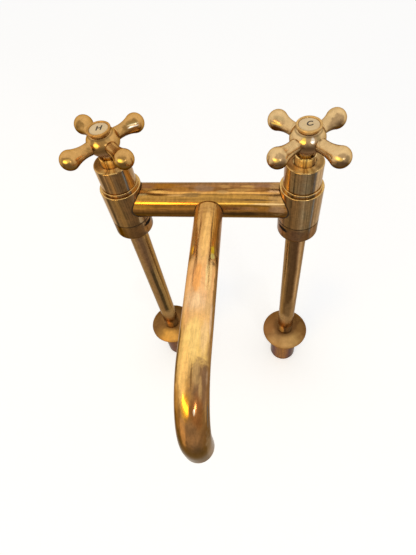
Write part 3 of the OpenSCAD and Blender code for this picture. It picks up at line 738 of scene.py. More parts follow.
# Stains and painted reflections on the bridge.
BRIDGE_STAINS_AND_REFLECTIONS = [
    ((-38, 98), (14, 13), (0.36, 0.135, 0.012), 0.75), ((-24, 84), (8, 9), (0.42, 0.18, 0.03), 0.7),
    ((-4, 86), (8, 17), (0.33, 0.19, 0.1), 0.65), ((14, 93), (5, 9), (0.5, 0.26, 0.08), 0.75),
    ((33, 94), (6, 5), (0.58, 0.31, 0.09), 0.85), ((27, 79), (12, 5), (0.52, 0.27, 0.07), 0.75),
    ((45, 100), (9, 12), (0.3, 0.155, 0.09), 0.6), ((-52, 98), (7, 14), (0.26, 0.11, 0.045), 0.6),
    ((-47, 80), (14, 4), (0.46, 0.22, 0.05), 0.6), ((56, 66), (6, 60), (0.66, 0.39, 0.15), 0.45),
    ((-49, 73), (14, 5), (0.94, 0.52, 0.13), 0.88), ((12, 72), (5, 6), (0.5, 0.3, 0.11), 0.6),
    ((30, 70), (14, 2.6), (0.88, 0.46, 0.12), 0.75), ((53, 74), (6, 5), (0.8, 0.46, 0.21), 0.75),
    ((-41, 64), (10, 2.5), (0.2, 0.09, 0.02), 0.4), ((-28, 60), (9, 2.2), (0.66, 0.36, 0.12), 0.75),
    ((-56, 63), (5, 5), (0.52, 0.36, 0.15), 0.75), ((-50, 46), (9, 5), (0.34, 0.165, 0.03), 0.65),
    ((-13, 62), (7, 8), (0.24, 0.135, 0.05), 0.65), ((38, 46), (17, 2.6), (0.14, 0.07, 0.022), 0.8),
    ((44, 63), (9, 2.4), (0.24, 0.13, 0.045), 0.7), ((20, 55), (12, 3), (0.56, 0.28, 0.05), 0.6),
    ((24, -4), (17, 8), (0.034, 0.017, 0.007), 0.9), ((-42, -6), (19, 4), (0.06, 0.027, 0.007), 0.8),
    ((26, 19), (17, 6), (0.3, 0.145, 0.06), 0.65), ((55, 14), (7, 13), (0.24, 0.135, 0.07), 0.7),
    ((-56, 20), (9, 6), (0.36, 0.17, 0.022), 0.6), ((-38, 13), (6, 2), (0.1, 0.045, 0.015), 0.6)]
# Painted highlights: bright lines along the tube.
BRIDGE_PAINTED_HIGHLIGHTS = [
    ((-30, 34), (34, 3.2), (1.0, 0.36, 0.05), 0.8), ((22, 35), (28, 2.8), (0.98, 0.54, 0.1), 0.95),
    ((50, 33.5), (15, 3.0), (0.92, 0.6, 0.26), 0.9)]
print("The bridge has", len(BRIDGE_STAINS_AND_REFLECTIONS), "stains and", len(BRIDGE_PAINTED_HIGHLIGHTS), "bright lines")

# %% [markdown]
# The stains and painted reflections bend with the bands. Three bright lines, painted highlights, come last
# and keep to the true angle round the tube, because what shines there is a straight reflection that the
# wiping marks only fray a little.

# %% Bridge brass
def bridge_brass():
    """Brass with painted reflection bands along the tube, from its lower front over the top to its back."""
    material, shader, place, _ = metal("bridge_brass", (0.75, 0.6, 0.45))
    parts = put("SeparateXYZ", Vector=place).outputs
    along = times(parts["X"], 1 / MM)
    above = minus(parts["Z"], bridge_z)
    forward = times(parts["Y"], -1.0)
    true_angle = calc("DEGREES", calc("ARCTAN2", above, forward))
    angle = plus(true_angle, frayed(stretched(place, (30, 110, 110)), scale=1.0, amount=9.0))
    # Bands by angle: painted reflections, and a painted shade below.
    colour = banded(angle, BRIDGE_BANDS)
    colour = streaked(colour, stretched(place, (12, 330, 330)), broad=0.35, thin=0.3)
    cross = noise(stretched(place, (330, 60, 60)), 1.0, 4.0, 0.6)
    colour = vary(colour, rise(cross, 0.35, 0.65), 0.22)
    wobble = frayed(stretched(place, (90, 330, 330)), scale=1.0, amount=2.6)
    # Stains and painted reflections.
    colour = laid_stains_and_reflections(colour, along, angle, wobble, BRIDGE_STAINS_AND_REFLECTIONS)
    calm = frayed(stretched(place, (60, 330, 330)), scale=1.0, amount=1.0)
    # Painted highlights along the tube.
    colour = laid_stains_and_reflections(colour, along, true_angle, calm, BRIDGE_PAINTED_HIGHLIGHTS)
    colour = mottled(place, colour, size=380.0, amount=0.3)
    finish_metal(shader, place, colour, roughness=0.19, waves=0.5, depth=0.1)
    return material


bridge_material = bridge_brass()
print("Bridge brass has", len(bridge_material.node_tree.nodes), "nodes")

# %% [markdown]
# ## The spout
#
# The spout has the strongest colours. Its level part is peach, pink and straw yellow, partly heat stains
# from bending and brazing and partly painted reflections of the room. Its bend is brown, its mouth a
# greyer brown, and its sides are painted darker than its top, a painted shade. To place such stains and
# reflections, the finish needs two numbers at every point: how far along the tube it lies and how far
# round. In the bend both are measured from the centre of the bend.

# %% Where a point lies on the spout
def along_spout(place):
    """The distance along the spout in millimetres, and the angle from its outer side in degrees."""
    parts = put("SeparateXYZ", Vector=place).outputs
    forward = times(parts["Y"], -1.0)
    sideways = calc("MULTIPLY_ADD", parts["Y"], math.tan(spout_lean), parts["X"])
    into_bend = calc("MAXIMUM", minus(forward, spout_bend_start), 0.0)
    above_centre = minus(parts["Z"], bridge_z - spout_bend_r)
    held = calc("MAXIMUM", above_centre, 0.0)
    turned = calc("ARCTAN2", into_bend, held)
    straight = calc("MINIMUM", forward, spout_bend_start)
    below = calc("MINIMUM", above_centre, 0.0)
    along = minus(calc("MULTIPLY_ADD", turned, spout_bend_r, straight), below)
    reach = calc("SQRT", plus(times(into_bend, into_bend), times(held, held)))
    outwards = minus(reach, spout_bend_r)
    return times(along, 1 / MM), calc("DEGREES", calc("ARCTAN2", sideways, outwards))


print("The spout is measured along and around")

# %% [markdown]
# The top and the sides of the spout each get a run of colours along the tube, given by the distance from
# the bridge's axis in millimetres. Each stain or painted reflection has its distance and its angle, how
# far it reaches along and round, its tint, and how much of it shows. Three bright spots near the root are
# painted highlights.

# %% Colours of the spout
SPOUT_LENGTH = 230
SPOUT_TOP = [
    (15, (0.6, 0.31, 0.085)), (28, (0.68, 0.35, 0.092)), (50, (0.74, 0.39, 0.115)),
    (68, (0.8, 0.44, 0.155)), (82, (0.87, 0.43, 0.155)), (95, (0.84, 0.45, 0.18)),
    (105, (0.82, 0.5, 0.24)), (116, (0.88, 0.48, 0.165)), (130, (0.97, 0.6, 0.175)),
    (142, (0.9, 0.55, 0.155)), (152, (0.68, 0.39, 0.12)), (163, (0.5, 0.24, 0.055)),
    (173, (0.27, 0.12, 0.028)), (188, (0.18, 0.085, 0.03)), (203, (0.1, 0.056, 0.028)),
    (214, (0.05, 0.028, 0.014)), (226, (0.11, 0.066, 0.036))]
SPOUT_SIDE = [
    (15, (0.8, 0.33, 0.06)), (32, (0.66, 0.26, 0.035)), (52, (0.76, 0.32, 0.05)), (62, (1.0, 0.5, 0.1)),
    (78, (0.86, 0.47, 0.165)), (100, (0.76, 0.41, 0.145)), (130, (0.54, 0.3, 0.12)),
    (148, (0.32, 0.17, 0.065)), (170, (0.24, 0.12, 0.04)), (192, (0.13, 0.06, 0.022)),
    (212, (0.13, 0.08, 0.042)), (226, (0.17, 0.11, 0.062))]
# Heat stains and painted reflections along the spout.
SPOUT_STAINS_AND_REFLECTIONS = [
    ((20, 0), (1.4, 50), (0.42, 0.2, 0.055), 0.55), ((24, 0), (1.2, 45), (0.44, 0.21, 0.06), 0.5),
    ((34, -20), (20, 8), (0.6, 0.29, 0.09), 0.65), ((48, 9), (24, 12), (1.0, 0.56, 0.175), 0.7),
    ((40, 43), (22, 12), (0.7, 0.3, 0.04), 0.85), ((40, 29), (28, 1.8), (0.18, 0.085, 0.025), 0.7),
    ((34, 37), (15, 1.5), (0.3, 0.13, 0.022), 0.7), ((40, 57), (24, 3.0), (0.36, 0.15, 0.035), 0.7),
    ((44, 74), (34, 12), (0.38, 0.2, 0.08), 0.8), ((26, -48), (8, 12), (0.9, 0.42, 0.07), 0.6),
    ((44, -37), (12, 1.6), (0.5, 0.21, 0.05), 0.35), ((61, -53), (5, 10), (0.98, 0.54, 0.11), 0.65),
    ((68, 33), (3.2, 2.4), (0.04, 0.025, 0.01), 0.9), ((71.5, 47), (1.4, 10), (0.1, 0.052, 0.02), 0.65),
    ((63, -32), (4.0, 2.0), (0.18, 0.075, 0.018), 0.6), ((86, -8), (12, 14), (0.93, 0.39, 0.095), 0.75),
    ((80, 26), (14, 6), (1.0, 0.68, 0.28), 0.85), ((84, 38), (14, 8), (1.0, 0.62, 0.23), 0.8),
    ((96, 71), (48, 11), (0.24, 0.12, 0.042), 0.88), ((105, -2), (6.0, 12), (0.99, 0.62, 0.3), 0.8),
    ((106, 42), (14, 10), (0.72, 0.41, 0.14), 0.6), ((118, 60), (12, 6), (0.68, 0.46, 0.28), 0.6),
    ((117, -33), (9, 11), (0.78, 0.37, 0.13), 0.6), ((132, 4), (13, 15), (1.0, 0.63, 0.2), 0.9),
    ((130, -47), (15, 14), (0.58, 0.29, 0.08), 0.6), ((130, 38), (12, 14), (0.9, 0.56, 0.26), 0.6),
    ((140, -59), (18, 9), (0.12, 0.062, 0.022), 0.9), ((152, -22), (15, 15), (0.98, 0.55, 0.16), 0.9),
    ((160, 48), (12, 46), (0.24, 0.12, 0.05), 0.97), ((153, 18), (6, 12), (0.46, 0.27, 0.1), 0.8),
    ((162, 36), (7, 6), (0.5, 0.29, 0.105), 0.75), ((154, 50), (6, 9), (0.2, 0.105, 0.05), 0.7),
    ((155, 62), (4, 6), (0.36, 0.23, 0.13), 0.55), ((155, 5), (7, 3.5), (0.2, 0.095, 0.028), 0.8),
    ((173, 24), (9, 22), (0.25, 0.09, 0.022), 0.9), ((174, 58), (7, 4), (0.42, 0.23, 0.08), 0.55),
    ((177, 70), (9, 5), (0.13, 0.12, 0.11), 0.8), ((184, -22), (12, 10), (0.48, 0.215, 0.06), 0.8),
    ((184, -58), (12, 9), (0.13, 0.045, 0.01), 0.8), ((188, 6), (11, 20), (0.26, 0.125, 0.045), 0.7),
    ((206, 12), (12, 32), (0.085, 0.05, 0.028), 0.8), ((214, 4), (5, 36), (0.042, 0.024, 0.012), 0.85),
    ((210, 66), (22, 14), (0.22, 0.145, 0.085), 0.85), ((203, -42), (16, 13), (0.06, 0.034, 0.014), 0.88),
    ((170, -12), (6.5, 14), (0.6, 0.29, 0.03), 0.8), ((172.5, 16), (1.8, 3.2), (1.0, 0.83, 0.58), 0.45)]
# Painted highlights near the root.
SPOUT_PAINTED_GLINTS = [
    ((60, 40), (4.0, 8), (1.0, 0.62, 0.03), 1.0), ((65.5, 42), (2.4, 9), (0.95, 0.72, 0.2), 0.95),
    ((60, -41), (4.0, 6), (1.0, 0.46, 0.03), 1.0)]
print("The spout has", len(SPOUT_STAINS_AND_REFLECTIONS), "stains and", len(SPOUT_PAINTED_GLINTS), "sparks")

# %% [markdown]
# The run of the top goes over into the run of the sides between about 42 and 72 degrees, and the underside
# is plain brown, a painted shade. Near the root, where bridge and spout mirror each other, the sides are
# duller, and the painted highlights are matt.

# %% Spout brass
def along_colours(along, stops):
    """A run of colours along the spout."""
    return colours(along, [(at / SPOUT_LENGTH, tint) for at, tint in stops])


def spout_brass():
    """Heat-coloured brass for the spout, with painted reflections, highlights and shade."""
    material, shader, place, _ = metal("spout_brass", (0.62, 0.52, 0.42))
    along, around = along_spout(place)
    drift = frayed(stretched(place, (120, 60, 60)), scale=1.0, amount=1.0)
    share = calc("DIVIDE", calc("MULTIPLY_ADD", drift, 22.0, along), SPOUT_LENGTH)
    swing = calc("MULTIPLY_ADD", drift, 40.0, calc("ABSOLUTE", around))
    top_to_side = rise(swing, 42.0, 72.0)
    # Runs along the top and sides: heat colour and painted reflections, the sides a painted shade.
    colour = blend(top_to_side, along_colours(share, SPOUT_TOP), along_colours(share, SPOUT_SIDE))
    # The underside is painted brown: a painted shade.
    colour = blend(rise(swing, 95.0, 140.0), colour, (0.13, 0.065, 0.025))
    wobble = calc("MULTIPLY_ADD", drift, 0.7, frayed(place, scale=210.0, amount=1.3))
    # Heat stains, painted reflections and painted highlights.
    colour = laid_stains_and_reflections(colour, along, around, wobble, SPOUT_STAINS_AND_REFLECTIONS)
    root_sides = times(rise(calc("ABSOLUTE", around), 26.0, 42.0), rise(along, 68.0, 58.0))
    matt = times(root_sides, 0.5)
    # Painted highlights: bright, matt spots.
    for centre, size, tint, amount in SPOUT_PAINTED_GLINTS:
        glint = times(patch(along, around, centre, size, wobble), amount)
        colour = blend(glint, colour, tint)
        matt = calc("MAXIMUM", matt, glint)
    tarnish(shader, matt, most=1.0)
    colour = streaked(colour, stretched(place, (330, 26, 120)), broad=0.16, thin=0.16)
    colour = mottled(place, colour, size=200.0, amount=0.2)
    finish_metal(shader, place, colour, roughness=0.18, waves=0.9, grit=0.6, depth=0.14)
    return material


spout_material = spout_brass()
print("Spout brass has", len(spout_material.node_tree.nodes), "nodes")

# %% [markdown]
# ## The handles
#
# Hands keep the handles satin. Their tops are painted lighter, and a painted shade darkens the undersides
# of the bulbs, the lower hub, the corners where the arms meet the hub and the line under the cap's ring.
# Olive clouds never wear off. The front of each bulb is darker than its top, a painted reflection of the
# room's dark end. The hot handle is used more and has a deeper gold.
#
# Small yellow and white glows stand on hub, arms and bulbs. The two lamps give some of them. The others
# come from things in the real room that aren't here, so they are spots in the finish, at an angle and a
# height below the hub's top. They turn with the handle, as a bright worn spot does.

# %% Handle brass
hub_top_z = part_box("cold_handle_hub")[1].z / MM
cap_r = span("cold_index_cap").x / MM / 2
arm_root = span("cold_handle_hub").x / MM / 2
GLOW_YELLOW = (1.0, 0.64, 0.12)
HUB_SPOTS = {
    "hot": [
        ((-6, -4.0), (9, 1.9), GLOW_YELLOW, 0.65), ((24, -1.6), (9, 1.0), (0.3, 0.17, 0.05), 0.6),
        ((50, -2.2), (8, 1.2), (0.34, 0.22, 0.08), 0.5)],
    "cold": [
        ((-18, -3.5), (8, 2.0), GLOW_YELLOW, 0.75), ((14, -3.2), (7, 1.7), (1.0, 0.9, 0.74), 0.55),
        ((37, -2.7), (9, 1.6), (0.28, 0.2, 0.08), 0.6)],
}
ARM_SPOTS = {
    "hot": [
        ((126, -4.8), (4, 1.0), (0.3, 0.2, 0.065), 0.7), ((124, -5.1), (3, 0.4), (1.0, 0.78, 0.45), 0.6),
        ((122, -9.4), (6, 1.7), (0.2, 0.09, 0.02), 0.75),
        ((121, -10.6), (5, 0.5), (0.9, 0.42, 0.06), 0.6),
        ((122.5, -6.5), (2.6, 0.5), (1.0, 0.82, 0.64), 0.7)],
    "cold": [
        ((-120, -6.7), (2.4, 0.6), GLOW_YELLOW, 0.7), ((-127, -3.4), (4, 0.9), (0.44, 0.32, 0.14), 0.5)],
}
BULB_SPOTS = {
    "hot": [
        ((-36, -4.8), (3.2, 1.2), GLOW_YELLOW, 0.6), ((38, -5.0), (3.2, 1.2), GLOW_YELLOW, 0.6)],
    "cold": [
        ((-38, -5.4), (3, 1.1), GLOW_YELLOW, 0.4), ((35, -5.2), (3, 1.1), GLOW_YELLOW, 0.5),
        ((43.5, -5.3), (3, 1.6), (0.18, 0.12, 0.05), 0.5)],
}


def handle_brass(side, top, middle_tone, under, shade):
    """Satin brass, worn by hands, with painted shade, painted reflections and painted glows."""
    material, shader, place, normal = metal(side + "_handle_brass", (0.5, 0.38, 0.27))
    angle, height, away = round_column(place, side)
    wobble = frayed(place, scale=190.0, amount=0.5)
    # Lighter tops and darker undersides: a painted shade.
    colour = shaded_by_facing(place, normal, under, middle_tone, top, wander=0.5, size=120.0)
    colour = clouded(colour, place, size=150.0, cover=0.47, edge=0.1, tint=middle_tone, most=0.35)
    colour = clouded(colour, stretched(place, (-1, 1, 1)), size=110.0, cover=0.36, edge=0.08,
                     tint=(0.34, 0.21, 0.085), most=0.3)
    # The front of each bulb darker: a painted reflection of the room's dark end.
    dark_end = plus(facing(normal, (0.1, -0.8, 0.42)), wobble)
    colour = laid(colour, shade, rise(dark_end, 0.76, 0.92), 0.8)
    # Under the bulbs: a painted shade.
    below = plus(facing(normal, (0.05, -0.8, -0.5)), wobble)
    colour = laid(colour, under, rise(below, 0.3, 0.85), 0.9)
    # Painted glows and reflections on hub, arms and bulbs, by angle and height below the hub's top.
    below_top = minus(height, hub_top_z)
    on_hub, on_arms, on_bulbs = [laid_stains_and_reflections(colour, angle, below_top, wobble, spots[side])
                                 for spots in (HUB_SPOTS, ARM_SPOTS, BULB_SPOTS)]
    colour = blend(rise(away, arm_root - 0.5, arm_root + 0.5), on_hub, colour)
    colour = blend(rise(away, arm_root + 7.0, arm_root + 10.0), colour, on_arms)
    colour = blend(rise(away, arm_root + 15.0, arm_root + 18.0), colour, on_bulbs)
    # The lower hub: a painted shade.
    low = rise(height, hub_top_z - 8.5, hub_top_z - 13.0)
    near = rise(away, arm_root + 2.0, arm_root - 1.0)
    low_hub_shade = times(times(low, near), 0.85)
    colour = blend(low_hub_shade, colour, (0.26, 0.145, 0.07))
    # Where the arms meet the hub: a painted shade.
    colour = laid(colour, (0.1, 0.05, 0.02), bump_at(away, arm_root + 0.1, 0.9), 0.22)
    # Under the cap's ring: a painted shade.
    under_cap_shade = times(bump_at(away, cap_r + 0.3, 1.2), rise(height, hub_top_z - 2.4, hub_top_z - 1.2))
    colour = laid(colour, (0.07, 0.035, 0.014), under_cap_shade, 0.62)
    colour = mottled(place, colour, size=240.0, amount=0.2)
    finish_metal(shader, place, colour, roughness=0.25, waves=0.6, grit=0.4, depth=0.1, dull=0.06)
    tarnish(shader, bump_at(away, arm_root + 5.0, 8.0), most=0.25)
    tarnish(shader, low_hub_shade, most=0.6)
    return material


handle_material = {
    "hot": handle_brass("hot", top=(0.67, 0.37, 0.118), middle_tone=(0.49, 0.26, 0.075),
                        under=(0.075, 0.039, 0.012), shade=(0.22, 0.115, 0.03)),
    "cold": handle_brass("cold", top=(0.76, 0.51, 0.235), middle_tone=(0.58, 0.37, 0.165),
                         under=(0.048, 0.022, 0.01), shade=(0.34, 0.21, 0.1)),
}
print("Handle brass for", list(handle_material))

# %% [markdown]
# ## Legs, flanges and small turned pieces
#
# The legs are drawn tube. They mirror the floor and the columns in upright stripes: a dark core, tan
# sides, and paler brass near the deck, where the flange lights them. The shanks and the gland nuts could
# have a plain brass of their own, but they are upright cylinders too, so they get the same recipe with
# other stripes. The hot side is the darker one, so each side's stripes are taken times its own shade.

# %% Brass of legs, shanks and gland nuts
LEG_BANDS = {
    "hot": [
        (-180, DEEP_BROWN), (-80, (0.3, 0.19, 0.1)), (-30, (0.24, 0.14, 0.06)),
        (-12, (0.25, 0.14, 0.055)), (8, (0.19, 0.1, 0.04)), (16, (0.055, 0.035, 0.016)),
        (31, (0.05, 0.032, 0.014)), (40, (0.22, 0.13, 0.045)), (56, (0.3, 0.17, 0.055)),
        (66, (0.2, 0.1, 0.03)), (78, (0.38, 0.2, 0.06)), (120, DEEP_BROWN), (180, DEEP_BROWN)],
    "cold": [
        (-180, DEEP_BROWN), (-90, (0.26, 0.14, 0.06)), (-60, (0.27, 0.145, 0.05)),
        (-44, (0.3, 0.16, 0.055)), (-36, (0.17, 0.09, 0.035)), (-22, (0.085, 0.043, 0.018)),
        (12, (0.07, 0.034, 0.015)), (22, (0.19, 0.1, 0.045)), (33, (0.44, 0.27, 0.125)),
        (44, (0.36, 0.2, 0.085)), (56, (0.17, 0.09, 0.035)), (70, (0.26, 0.15, 0.06)), (120, DEEP_BROWN),
        (180, DEEP_BROWN)],
}
# Stains and painted reflections. The pale band low on each leg is painted light from the flange.
LEG_STAINS_AND_REFLECTIONS = {
    "hot": [
        ((10, 40), (110, 12), (0.32, 0.19, 0.075), 0.85),
        ((25, 175), (32, 32), (0.15, 0.075, 0.035), 0.6), ((2, 14), (26, 9), (0.34, 0.15, 0.03), 0.85),
        ((62, 16), (30, 10), (0.15, 0.075, 0.025), 0.8)],
    "cold": [
        ((-20, 42), (80, 13), (0.39, 0.235, 0.1), 0.85), ((20, 66), (40, 24), (0.2, 0.115, 0.05), 0.6),
        ((-33, 178), (4, 30), (0.05, 0.028, 0.012), 0.8), ((-28, 15), (20, 8), (0.6, 0.33, 0.09), 0.85),
        ((25, 14), (30, 10), (0.16, 0.08, 0.028), 0.8)],
}
SHANK_BANDS = [
    (-180, DEEP_BROWN), (-72, (0.08, 0.034, 0.01)), (-48, (0.12, 0.048, 0.012)),
    (-28, (0.3, 0.14, 0.034)), (-8, (0.27, 0.125, 0.03)), (14, (0.24, 0.11, 0.026)),
    (32, (0.1, 0.045, 0.012)), (60, (0.07, 0.03, 0.01)), (120, DEEP_BROWN), (180, DEEP_BROWN)]
SHANK_SHADE = {"hot": (0.68, 0.68, 0.68), "cold": (1.15, 1.15, 1.15)}
# Light and dark stripes on the gland nuts: painted reflections.
GLAND_BANDS = [
    (-180, (0.2, 0.1, 0.03)), (-75, (0.4, 0.24, 0.09)), (-50, (0.95, 0.6, 0.2)), (-20, (1.0, 0.62, 0.16)),
    (-11, (0.45, 0.24, 0.06)), (-5, (0.9, 0.55, 0.13)), (3, (0.28, 0.17, 0.06)), (11, (1.0, 0.64, 0.18)),
    (30, (0.9, 0.56, 0.16)), (40, (0.34, 0.21, 0.08)), (52, (0.36, 0.23, 0.09)), (65, (0.95, 0.66, 0.3)),
    (95, (0.5, 0.3, 0.11)), (180, (0.2, 0.1, 0.03))]
GLAND_SHADE = {"hot": (0.86, 0.7, 0.5), "cold": (1.0, 1.0, 1.0)}


def leg_brass(side, bands, stains_and_reflections, name="leg", edge=(0.72, 0.6, 0.48), foot_oxide=0.65):
    """Brass for a leg tube, a shank or a gland nut, with its colour by angle and oxide near the deck."""
    material, shader, place, _ = metal(side + "_" + name + "_brass", edge)
    angle, height, _ = round_column(place, side)
    angle = plus(angle, frayed(stretched(place, (60, 60, 30)), scale=1.0, amount=16.0))
    colour = banded(angle, bands)
    colour = organ_pipes(angle, height, colour, width=16.0, amount=0.25)
    colour = organ_pipes(angle, height, colour, width=4.0, amount=0.3)
    wobble = frayed(stretched(place, (220, 220, 90)), scale=1.0, amount=1.2)
    # Stains and painted reflections, by angle and height.
    colour = laid_stains_and_reflections(colour, angle, height, wobble, stains_and_reflections)
    colour = mottled(place, colour, size=300.0, amount=0.4)
    finish_metal(shader, place, colour, roughness=0.2, waves=0.4, depth=0.08)
    tarnish(shader, rise(height, 26.0, 19.0), most=foot_oxide)
    return material


def tinted(bands, shade):
    """Bands with each part of their colours taken times that part of a shade."""
    return [(turned, [part * share for part, share in zip(tint, shade)]) for turned, tint in bands]


def upright(normal):
    """1 on upright sides and undersides, 0 on flat tops."""
    return rise(facing(normal, UP), 0.85, 0.45)


def gland_brass(side):
    """Turned brass with upright stripes, for a gland nut."""
    bands = tinted(GLAND_BANDS, GLAND_SHADE[side])
    material = leg_brass(side, bands, [], "gland", (0.6, 0.46, 0.32), 0.45)
    shader, _, normal = parts_of(material)
    tarnish(shader, upright(normal), most=0.5)
    return material


leg_material = {side: leg_brass(side, LEG_BANDS[side], LEG_STAINS_AND_REFLECTIONS[side]) for side in SIDES}
shank_material = {
    side: leg_brass(side, tinted(SHANK_BANDS, SHANK_SHADE[side]), [], "shank", (0.38, 0.26, 0.14), 0.45)
    for side in SIDES
}
gland_material = {side: gland_brass(side) for side in SIDES}
print("Stripes for", len(leg_material) + len(shank_material) + len(gland_material), "upright pieces")

# %% [markdown]
# The flanges are cast and turned. Their fronts are painted lighter and their backs darker, a painted light
# and shade. Round the foot of the leg each has a brown ring, a painted shade, and its outer rim is painted
# darker too. The caps and the pieces inside the valves are plain turned brass, painted lighter on top and
# darker below, and the braze has a skin of nearly black oxide.

# %% Brass of flanges and small turned pieces
# Lighter fronts and darker backs: painted light and shade.
FLANGE_BANDS = {
    "hot": [
        (-180, (0.1, 0.045, 0.014)), (-110, (0.18, 0.08, 0.024)), (-60, (0.2, 0.085, 0.022)),
        (-34, (0.32, 0.15, 0.035)), (-12, (0.7, 0.33, 0.06)), (20, (0.78, 0.37, 0.07)),
        (44, (0.4, 0.19, 0.045)), (90, (0.14, 0.06, 0.016)), (180, (0.1, 0.045, 0.014))],
    "cold": [
        (-180, (0.13, 0.055, 0.016)), (-120, (0.21, 0.09, 0.026)), (-70, (0.32, 0.14, 0.042)),
        (-42, (0.46, 0.245, 0.085)), (0, (0.52, 0.29, 0.1)), (38, (0.42, 0.235, 0.075)),
        (68, (0.18, 0.08, 0.022)), (120, (0.11, 0.048, 0.014)), (180, (0.13, 0.055, 0.016))],
}
# A painted shade round the foot of the leg.
FLANGE_FOOT_SHADE = {"hot": (0.2, 0.09, 0.024), "cold": (0.13, 0.058, 0.018)}


def flange_brass(side):
    """Satin brass for a deck flange: painted light and shade by angle, and a painted shade round the leg's
    foot.
    """
    material, shader, place, _ = metal(side + "_flange_brass", (0.6, 0.46, 0.32))
    angle, _, away = round_column(place, side)
    # Bands by angle: painted light and shade.
    colour = banded(plus(angle, frayed(place, scale=55.0, amount=50.0)), FLANGE_BANDS[side])
    near = plus(away, frayed(place, scale=60.0, amount=4.0))
    # A painted shade round the foot of the leg.
    colour = laid(colour, FLANGE_FOOT_SHADE[side], rise(near, 17.5, 11.0), 0.85)
    # A painted shade on the outer rim.
    colour = laid(colour, (0.22, 0.1, 0.03), rise(near, 24.5, 28.0), 0.5)
    colour = clouded(colour, place, size=90.0, cover=0.48, edge=0.12, tint=(0.33, 0.17, 0.05), most=0.3)
    colour = mottled(place, colour, size=160.0, amount=0.16)
    finish_metal(shader, place, colour, roughness=0.3, waves=0.4, grit=0.6, depth=0.06, dull=0.06)
    return material


def turned_brass(name, under, side, top, roughness):
    """Plain turned brass for caps and inner pieces, and the oxide on the braze, lighter on top: a painted
    shade.
    """
    material, shader, place, normal = metal(name)
    # Lighter on top and darker below: a painted shade.
    colour = shaded_by_facing(place, normal, under, side, top, wander=0.4, size=80.0)
    rings = use_group(streak_group, Place=stretched(place, (14, 14, 900)), Size=1.0)
    colour = mottled(place, vary(colour, rings["Thin"], 0.4), size=300.0, amount=0.35)
    finish_metal(shader, place, colour, roughness, waves=0.3, depth=0.08)
    tarnish(shader, upright(normal), most=0.35)
    return material


flange_material = {side: flange_brass(side) for side in SIDES}
cap_material = {
    "hot": turned_brass("hot_cap_brass", under=(0.12, 0.06, 0.016), side=(0.38, 0.18, 0.042),
                        top=(0.52, 0.26, 0.064), roughness=0.36),
    "cold": turned_brass("cold_cap_brass", under=(0.14, 0.07, 0.022), side=(0.42, 0.23, 0.07),
                         top=(0.68, 0.41, 0.145), roughness=0.36),
}
inner_material = turned_brass("inner_brass", under=(0.34, 0.22, 0.08), side=(0.5, 0.33, 0.12),
                              top=(0.66, 0.46, 0.18), roughness=0.28)
oxide = turned_brass("braze_oxide", under=(0.02, 0.011, 0.005), side=(0.03, 0.017, 0.008),
                     top=(0.055, 0.03, 0.013), roughness=0.45)
print("Made the brass of legs, flanges and small parts")

# %% [markdown]
# ## Porcelain, ink, rubber and fibre
#
# The index discs are cream porcelain under a clear glaze, a little stained with age, and their letters are
# dark ink. Rubber and red fibre sit inside the valves, where only a view through the gaps would show them,
# but they get their own finish too.

# %% Finishes that aren't metal
def plain_finish(name, first, second, size, roughness, coat=0.0, relief=0.05, fine=900.0, mirror=0.5):
    """A material that isn't metal: two colours in soft clouds, and fine relief."""
    material, shader, place, _ = new_material(name, Metallic=0.0, Coat_Weight=coat, Coat_Roughness=0.06,
                                              Specular_IOR_Level=mirror)
    clouds = use_group(cloud_group, Place=place, Size=size, Cover=0.5, Edge=0.2)
    feed(shader.inputs["Base Color"], blend(clouds["Mask"], first, second))
    feed(shader.inputs["Roughness"], calc("MULTIPLY_ADD", clouds["Fine"], 0.12, roughness))
    raised = put("Bump", Strength=relief, Distance=0.3 * MM, Height=noise(place, fine))
    feed(shader.inputs["Normal"], raised.outputs["Normal"])
    return material


porcelain = plain_finish("cream_porcelain", (0.98, 0.71, 0.34), (0.9, 0.63, 0.29), size=260.0,
                         roughness=0.22, coat=0.5, relief=0.02)
ink = plain_finish("dark_ink", (0.06, 0.046, 0.034), (0.11, 0.082, 0.055), size=400.0, roughness=0.5,
                   relief=0.02, mirror=0.2)
rubber = plain_finish("black_rubber", (0.03, 0.03, 0.033), (0.055, 0.055, 0.058), size=200.0,
                      roughness=0.6, relief=0.3)
fibre = plain_finish("red_fibre", (0.3, 0.07, 0.035), (0.22, 0.05, 0.03), size=300.0, roughness=0.55,
                     relief=0.3, fine=1500.0)
print("Made porcelain, ink, rubber and fibre")

# %% [markdown]
# ## Giving each node its finish
#
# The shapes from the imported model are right, so they stay and only get a better material. A list of which
# finish goes to which kind of piece keeps this short, and what differs from side to side is picked by
# side.

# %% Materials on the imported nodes
def wear(node, material):
    """Puts one material on a node."""
    node.data.materials.clear()
    node.data.materials.append(material)


wear(nodes["bridge_tube"], bridge_material)
wear(nodes["spout"], spout_material)
SIDED = {
    "tail_shank": shank_material, "deck_flange": flange_material, "leg_tube": leg_material,
    "leg_nut": nut_material, "valve_body": column_material, "bonnet": bonnet_material,
    "gland_nut": gland_material, "handle_hub": handle_material, "handle_arms": handle_material,
    "index_cap": cap_material,
}
ALIKE = {
    "leg_washer": fibre, "body_washer": fibre, "headwork": inner_material, "gland_packing": rubber,
    "jumper": inner_material, "tap_washer": rubber, "washer_nut": inner_material,
    "spindle": inner_material, "handle_screw": inner_material, "index_disc": porcelain,
}
for side in SIDES:
    for piece, by_side in SIDED.items():
        wear(nodes[side + "_" + piece], by_side[side])
    for piece, material in ALIKE.items():
        wear(nodes[side + "_" + piece], material)
print("Every node has a finish")

# %% [markdown]
# ## The index discs and their letters
#
# Each cap holds a round porcelain disc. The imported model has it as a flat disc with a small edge, but the
# real one is slightly domed under its glaze, and that dome is what catches the light. It could be cut
# from a large ball. Here a cylinder's top face is inset ring by ring, and each inset lifts the middle a
# little less than the last, so the rings follow an arc.

